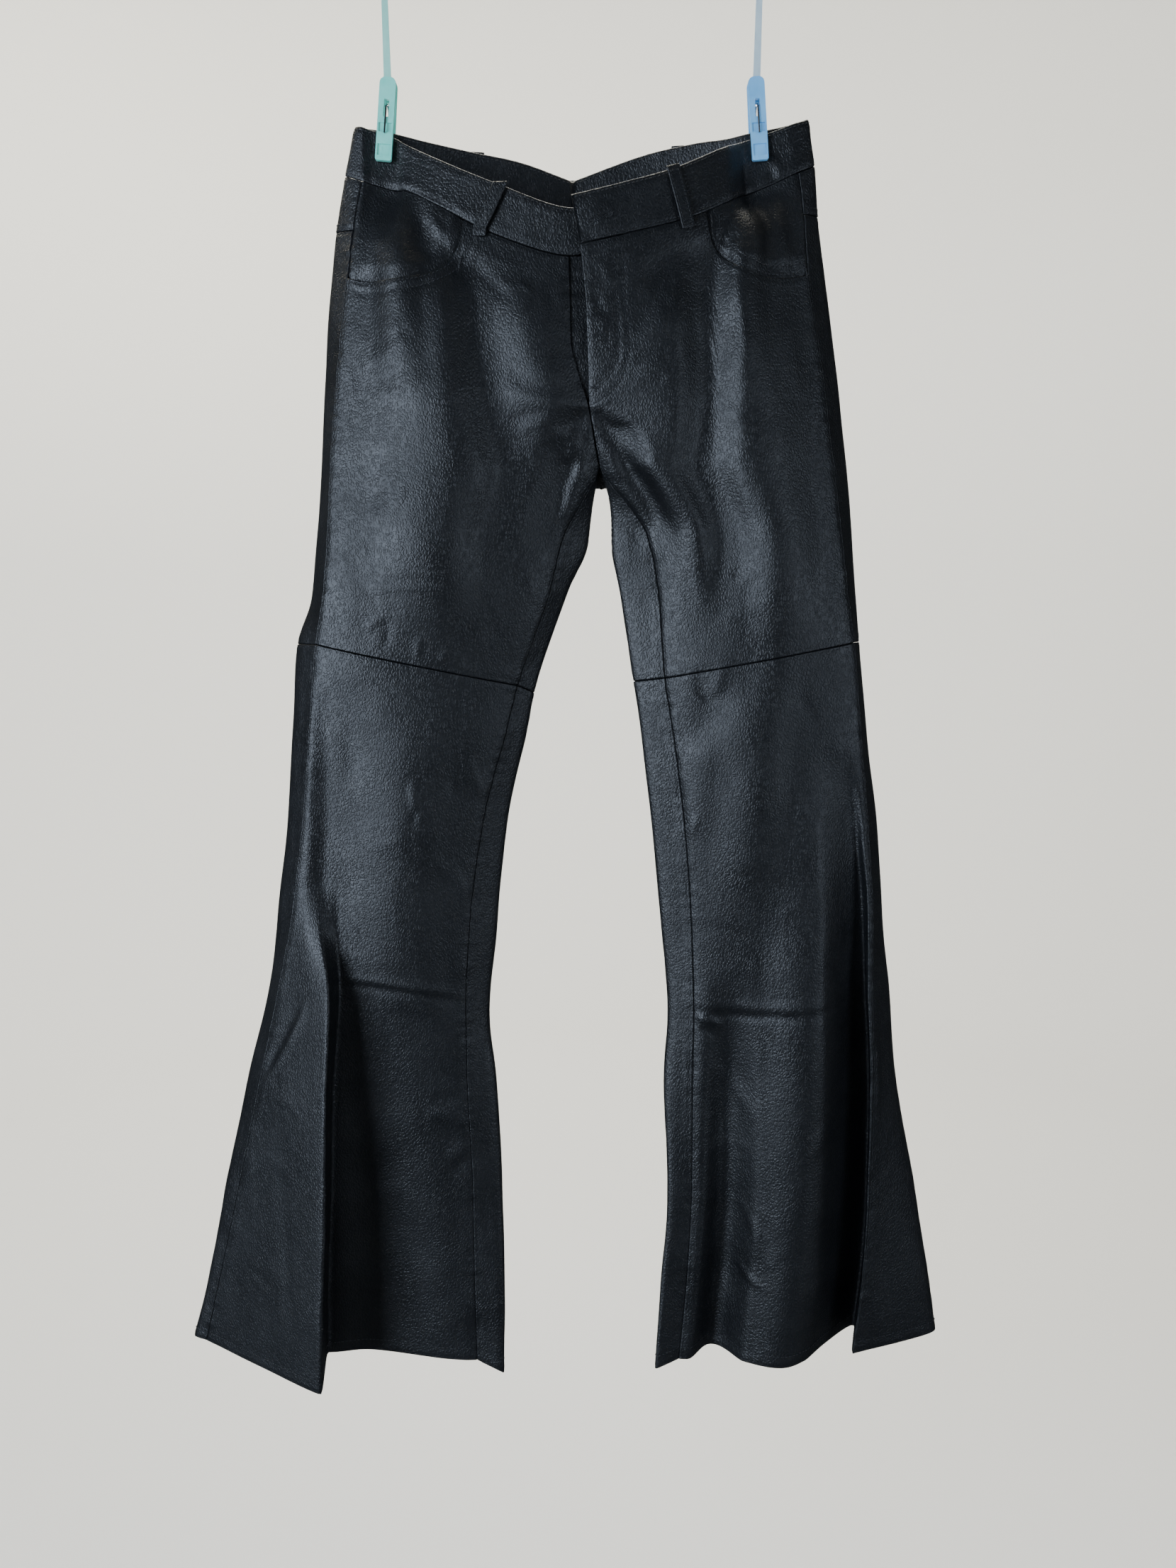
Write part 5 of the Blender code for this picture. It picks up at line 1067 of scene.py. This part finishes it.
def find(surface, x, z):
    """The along and across of points given by x and z: the nearest point of the surface's own grid,
    then one step of its two tangents."""
    x, z = np.asarray(x, float), np.asarray(z, float)
    gx, gz = surface.rows[..., 0], surface.rows[..., 2]
    along, across = np.empty(len(x)), np.empty(len(x))
    for k in range(len(x)):
        i, j = np.unravel_index(np.argmin((gx - x[k]) ** 2 + (gz - z[k]) ** 2), gx.shape)
        i, j = np.clip(i, 1, gx.shape[0] - 2), np.clip(j, 1, gx.shape[1] - 2)
        a = np.array([[(gx[i + 1, j] - gx[i - 1, j]) / 2, (gx[i, j + 1] - gx[i, j - 1]) / 2],
                      [(gz[i + 1, j] - gz[i - 1, j]) / 2, (gz[i, j + 1] - gz[i, j - 1]) / 2]])
        d = np.linalg.solve(a, np.array([x[k] - gx[i, j], z[k] - gz[i, j]]))
        along[k] = (i + np.clip(d[0], -1, 1)) / DENSE_ROWS
        across[k] = (j + np.clip(d[1], -1, 1)) / (DENSE_COLUMNS - 1)
    return along, across


def polyline(points, count):
    """Points read at equal steps along straight spans."""
    points = np.asarray(points, float)
    run = run_along(points)
    at = np.linspace(0, run[-1], count)
    return np.stack([np.interp(at, run, points[:, k]) for k in range(points.shape[1])], -1)


def curve(points, count):
    """Points read at equal steps along a spline."""
    points = np.asarray(points, float)
    flat = np.concatenate([points, np.zeros((len(points), 3 - points.shape[1]))], axis=1)
    return even(spline(flat[None], 16), count)[0][:, :points.shape[1]]


def build_stitching(surfaces, thread):
    for leg in LEGS:
        front, back = surfaces[leg.name]
        rows = Stitching()
        # pocket mouth
        for off in MOUTH_ROWS:
            a, c = find(front, *mouth_stitches(leg, front, off, 400).T)
            rows.row(*front.path(a, np.clip(c, 0.012, 1), ON_TOP))
        # hem
        for surface in (front, back):
            rows.row(*surface.path(HEM - HEM_STITCH / HEM_SECTION, np.linspace(0.01, 0.99, 300), ON_TOP))
        # yoke: two rows on the yoke, above its seam
        for off in SEAM_ROWS:
            rows.row(*back.path(YOKE - off / HEM_SECTION, np.linspace(0.012, 0.985, 300), ON_TOP))
        # waistband: a row inside each edge
        per = np.linspace(0.05, len(leg.band) - 1.05, 900)
        for height in (0.066, 0.934):
            path, normal = band_point(leg, per, np.full(len(per), height))
            rows.row(path, normal)
            # and where they come out inside the back
            inside = per > OUTSEAM_STATION - 1
            rows.row((path - normal * BAND)[inside], -normal[inside])
        rows.finish("topstitching_" + leg.name, thread)

    right_front, right_back = surfaces["right"]
    rows = Stitching()
    for line in (FLY_OUTER, FLY_INNER):
        points = curve(line, 240)
        a, c = find(right_front, points[:, 0], points[:, 1])
        rows.row(*right_front.path(a, c, ON_TOP))
    # centre front below the fly, and the centre back: two rows beside the seam on the right
    for off in SEAM_ROWS:
        rows.row(*right_front.path(np.linspace(FLY_FOOT, FORK - 0.05, 120), 1 - off / 215.0, ON_TOP))
        rows.row(*right_back.path(np.linspace(0.05, FORK - 0.1, 300), off / 250.0, ON_TOP))
    for line in BAR_TACKS:
        a, c = find(right_front, *np.array(polyline(line, 20)).T)
        path, normal = right_front.path(a, c, 0.12)
        across_it = unit(np.cross(np.gradient(path, axis=0), normal))
        zigzag = path + across_it * (np.where(np.arange(20) % 2 == 0, 1.0, -1.0) * 1.1)[:, None]
        rows.row(zigzag, normal, pitch=2.3, thread=0.3, lift=0.3)
    rows.finish("fly_stitching", thread)


def build_buttonhole(face, normal, thread):
    """Satin stitches across the lips of the buttonhole, all round its slit."""
    (x0, z0), (x1, z1) = BUTTONHOLE
    length = math.hypot(x1 - x0, z1 - z0)
    count = 74
    run = np.linspace(0, 2 * length + 4 * math.pi, count) - math.pi
    half = length + 2 * math.pi
    turn = np.where(run < 0, run / 2, np.where(run < length, 0, np.where(run < half, (run - length) / 2, math.pi)))
    turn = np.where(run > half + length, math.pi + (run - half - length) / 2, turn)
    ahead = np.where(run < half, np.clip(run, 0, length), np.clip(2 * length + 2 * math.pi - run, 0, length))
    reach = np.where(np.arange(count) % 2 == 0, 0.7, 2.5)
    local = np.stack([ahead + reach * np.sin(turn), -reach * np.cos(turn)], -1)
    unit_x, unit_z = (x1 - x0) / length, (z1 - z0) / length
    x = x0 + local[:, 0] * unit_x - local[:, 1] * unit_z
    z = z0 + local[:, 0] * unit_z + local[:, 1] * unit_x
    path, up = np.empty((count, 3)), np.empty((count, 3))
    for k in range(count):
        i, j = np.unravel_index(np.argmin((face[..., 0] - x[k]) ** 2 + (face[..., 2] - z[k]) ** 2), face.shape[:2])
        n, p = normal[j], face[i, j]
        path[k] = x[k], p[1] - (n[0] * (x[k] - p[0]) + n[2] * (z[k] - p[2])) / n[1], z[k]
        up[k] = n
    rows = Stitching()
    step = np.linalg.norm(np.diff(path, axis=0), axis=1)
    rows.row(path + up * 0.15, up, pitch=float(step.sum()) / (count - 1) * 0.999, thread=0.3, lift=0.25)
    rows.finish("buttonhole_stitching", thread)


# ---------------------------------------------------------------- belt loops
LoopPlace = namedtuple("LoopPlace", "name leg top_station bottom_station below")
BELT_LOOPS = (
    LoopPlace("belt_loop_front_left", 0, 1.9, 2.2, 0.20),
    LoopPlace("belt_loop_back_left", 0, 13.1, 13.1, 0.20),
    LoopPlace("belt_loop_front_right", 1, 2.00, 2.00, 0.22),
    LoopPlace("belt_loop_back_right", 1, 13.3, 13.3, 0.20),
    LoopPlace("belt_loop_back_centre", 1, 15.0, 15.0, 0.20),
)


def build_belt_loop(place, leather, thread):
    """A folded strip carried over the band: a rounded oblong profile whose middle stands off the
    band by 1.6 mm and whose ends are sewn down."""
    leg = LEGS[place.leg]
    t = np.concatenate([[-0.045, -0.04, -0.02], np.linspace(0.0, 1.0 + place.below - 0.03, 30),
                        [1.0 + place.below - 0.015, 1.0 + place.below]])
    station = place.top_station + (place.bottom_station - place.top_station) * np.clip(t, 0, 1)
    station = np.minimum(station, len(leg.band) - 1.01)
    point, normal = band_point(leg, station, np.clip(t, 0, 1))
    upper, lower = (band_point(leg, station, np.full(len(t), height))[0] for height in (0.0, 1.0))
    point = point + (lower - upper) * (t - np.clip(t, 0, 1))[:, None]
    if place.name.endswith("centre"):
        point[:, 0] -= leg.side * SEAM_GAP / 2
        normal = unit(normal * np.array([0, 1, 1]))
    run = np.gradient(point, axis=0)
    sideways = unit(np.cross(run, normal))
    share = np.clip((t + 0.045) / (1.045 + place.below), 0, 1)
    stand = 0.75 + 1.0 * np.sin(share * math.pi) ** 0.6 + np.where(share > 0.8, (share - 0.8) * 2.0, 0.0)
    angle = (np.arange(28) + 0.5) * 2 * math.pi / 28
    flat_x = np.sign(np.cos(angle)) * np.abs(np.cos(angle)) ** 0.35 * LOOP_WIDTH / 2
    flat_y = np.sign(np.sin(angle)) * np.abs(np.sin(angle)) ** 0.55 * LOOP_WALL / 2
    # rolled edges stand a little higher than the middle, between the two rows of stitches
    rim = 0.22 * np.exp(-((np.abs(flat_x) - LOOP_WIDTH / 2 + 0.9) / 0.9) ** 2) - 0.16 * np.exp(
        -((np.abs(flat_x) - LOOP_WIDTH / 2 + 2.1) / 0.6) ** 2)
    flat_y = flat_y + np.where(flat_y > 0, rim, 0.0)
    shrink = np.ones(len(t))
    shrink[0], shrink[1], shrink[-1], shrink[-2] = 0.0, 0.8, 0.0, 0.85
    middle = point + normal * (stand + LOOP_WALL / 2)[:, None]
    narrow = np.where(shrink > 0, 1 - (1 - shrink) * 0.1, 0)
    ring = (middle[:, None] + sideways[:, None] * (flat_x[None] * narrow[:, None])[..., None]
            + normal[:, None] * (flat_y[None] * shrink[:, None])[..., None])
    flip = np.sign(np.dot(np.cross(sideways[5], normal[5]), run[5])) > 0
    piece = put(place.name + "_cloth", ring, grid_faces(*ring.shape[:2], flip=not flip, closed=True), leather,
                (place.name,))
    rows = Stitching()
    body = slice(4, -4)
    for s in (-1, 1):
        path = middle[body] + sideways[body] * s * (LOOP_WIDTH / 2 - 2.0) + normal[body] * (LOOP_WALL / 2 - 0.1)
        rows.row(path, normal[body], pitch=3.0, thread=0.3)
    for k in (5, -6):
        ends = np.stack([middle[k] - sideways[k] * 3.6, middle[k] + sideways[k] * 3.6]) + normal[k] * (LOOP_WALL / 2)
        path = polyline(ends, 12)
        path[:, 2] += np.where(np.arange(12) % 2 == 0, 0.8, -0.8)
        rows.row(path, np.repeat(normal[k][None], 12, 0), pitch=1.9, thread=0.28, lift=0.3)
    rows.finish(place.name + "_stitching", thread)


# ---------------------------------------------------------------- fly
def build_fly(surfaces, leather):
    """The underlap that the left front carries behind the zip."""
    left = surfaces["left"][0]
    along = np.linspace(0.0, 2.86, 90)
    edge = left.at(along, 1.0)
    width = np.interp(along, [0, 2.0, 2.9], [44, 36, 12])
    u = np.linspace(0, 1, 30)
    beyond = -3.5 + width[:, None] * u
    x = edge[:, None, 0] + beyond
    y = edge[:, None, 1] + CLOTH + 0.35 + 0.8 * u + 0.2 * u * waves(x, np.repeat(edge[:, 2:3], 30, 1), 22.0, 9)
    z = np.repeat(edge[:, None, 2], 30, 1)
    points = np.stack([x, y, z], -1)
    piece = put("fly_underlap_cloth", points, grid_faces(90, 30), leather, ("fly_underlap",))


# ---------------------------------------------------------------- stage, light and camera
def build_stage():
    """A pale studio bowl: a flat floor that curves up into a round wall, as one turned profile."""
    floor, radius, curve_radius = -1.62, 3.4, 1.3
    angle = np.linspace(0, math.pi / 2, 24)
    r = np.concatenate([[0.0, 0.8, 1.5], radius - curve_radius + curve_radius * np.sin(angle), [radius, radius]])
    z = np.concatenate([[floor] * 3, floor + curve_radius * (1 - np.cos(angle)), [2.4, 4.0]])
    turn = np.linspace(0, 2 * math.pi, 96, endpoint=False)
    points = np.stack([r[:, None] * np.cos(turn), r[:, None] * np.sin(turn), np.repeat(z[:, None], 96, 1)], -1)
    mesh = bpy.data.meshes.new("studio_bowl")
    mesh.from_pydata(points.reshape(-1, 3).tolist(), [], grid_faces(len(r), 96, flip=True, closed=True).tolist())
    mesh.shade_smooth()
    bowl = bpy.data.objects.new("studio_bowl", mesh)
    bpy.context.scene.collection.objects.link(bowl)
    mesh.materials.append(new_material("matt_wall_paint", Base_Color=linear("dedddb"), Roughness=0.9)[0])
    bowl.visible_glossy = False


def add_light(name, place, aim, size, power, colour="ffffff", spread=180.0):
    light = bpy.data.lights.new(name, "AREA")
    light.shape = "RECTANGLE"
    light.size, light.size_y = size
    light.energy = power
    light.color = linear(colour)[:3]
    light.spread = math.radians(spread)
    made = bpy.data.objects.new(name, light)
    made.location = place
    made.rotation_euler = (Vector(aim) - Vector(place)).to_track_quat("-Z", "Y").to_euler()
    bpy.context.scene.collection.objects.link(made)


def build_light():
    """A tall window to the left in front, a weaker one on the right, two for the back, and a wash for
    the wall behind; the rest of the room is dim, so that the leather has black in it."""
    world = bpy.data.worlds.new("studio_air")
    bpy.context.scene.world = world
    world.use_nodes = True
    world.node_tree.nodes["Background"].inputs["Color"].default_value = linear("dfe9f2")
    world.node_tree.nodes["Background"].inputs["Strength"].default_value = 0.05
    add_light("window", (-2.0, -1.9, -0.4), (0.1, 0, -0.6), (1.2, 2.1), 80.0, "dcebff")
    add_light("far_window", (1.9, -1.7, -0.6), (0.1, 0, -0.8), (0.9, 1.6), 15.0, "dcebff")
    add_light("back_window", (-0.3, 2.4, -0.1), (0.0, 0.1, -0.55), (0.7, 1.3), 7.5, "f4f8ff", spread=56.0)
    add_light("back_top", (0.3, 1.8, 1.9), (0.0, 0.05, -0.6), (1.8, 1.0), 24.0, "f4f8ff")
    add_light("wall_wash", (-0.6, 0.9, 1.5), (0.1, 3.2, -0.9), (2.6, 1.6), 158.0, "fffae9")


def build_camera():
    """The photograph's own view: 0.98 m in front of the rail, 8 degrees down."""
    camera = bpy.data.cameras.new("photo_camera")
    camera.sensor_fit = "VERTICAL"
    camera.sensor_height = 36.0
    camera.lens = 27.03
    made = bpy.data.objects.new("photo_camera", camera)
    made.location = (0.012, -0.98, -0.505)
    turn = Euler((math.radians(90 - 8.05), 0, 0)).to_matrix() @ Matrix.Rotation(math.radians(-0.48), 3, "Z")
    made.rotation_euler = turn.to_euler()
    bpy.context.scene.collection.objects.link(made)
    bpy.context.scene.camera = made


def dress_hardware(frame):
    """Finishes of the solids whose shape is right as it is: the pegs, their springs and straps, the
    rail, and the fastening that the fly hides. Fine bevels break the moulded edges."""
    finishes = {
        "peg_left": moulded_plastic("moulded_polypropylene_green", "93e6dc", "69cdc1"),
        "peg_right": moulded_plastic("moulded_polypropylene_blue", "86c6f2", "67a8dc"),
        "strap_left": moulded_plastic("green_strap_tape", "a5ded4", "8accc0", 0.45),
        "strap_right": moulded_plastic("blue_strap_tape", "c4d5de", "a9bfcb", 0.45),
        "spring": drawn_steel("spring_wire_steel", "8f9294", 0.2, 0.0004),
        "rail": drawn_steel("rail_steel", "9c9da0", 0.3, 0.0006),
        "zip": woven_tape(),
        "metal": drawn_steel("gunmetal_fastener", "5d5e61", 0.33, 0.0005),
    }
    for name, node in frame["nodes"].items():
        kind = None
        if name.endswith("spring"):
            kind = "spring"
        elif name.endswith("strap"):
            kind = "strap_" + name.split("_")[1]
        elif name.startswith("peg_"):
            kind = name[:name.index("_", 5)]
            bevel = node.modifiers.new("moulded_edge", "BEVEL")
            bevel.width, bevel.segments = 0.0004, 2
            bevel.limit_method, bevel.angle_limit = "ANGLE", math.radians(40)
        elif name == "hanging_rail":
            kind = "rail"
        elif name == "fly_zip":
            kind = "zip"
        elif name in ("zip_slider", "waist_button"):
            kind = "metal"
        if kind:
            node.data.materials.clear()
            node.data.materials.append(finishes[kind])


def main():
    build_camera()
    build_light()
    build_stage()
    leather = embossed_faux_leather()
    thread = polyester_thread()
    surfaces = finished_surfaces()
    build_panels(surfaces, leather)
    for leg in LEGS:
        face, normal = build_waistband(leg, leather)
    build_buttonhole(face, normal, thread)
    build_stitching(surfaces, thread)
    for place in BELT_LOOPS:
        build_belt_loop(place, leather, thread)
    build_fly(surfaces, leather)
    dress_hardware(frame)


main()
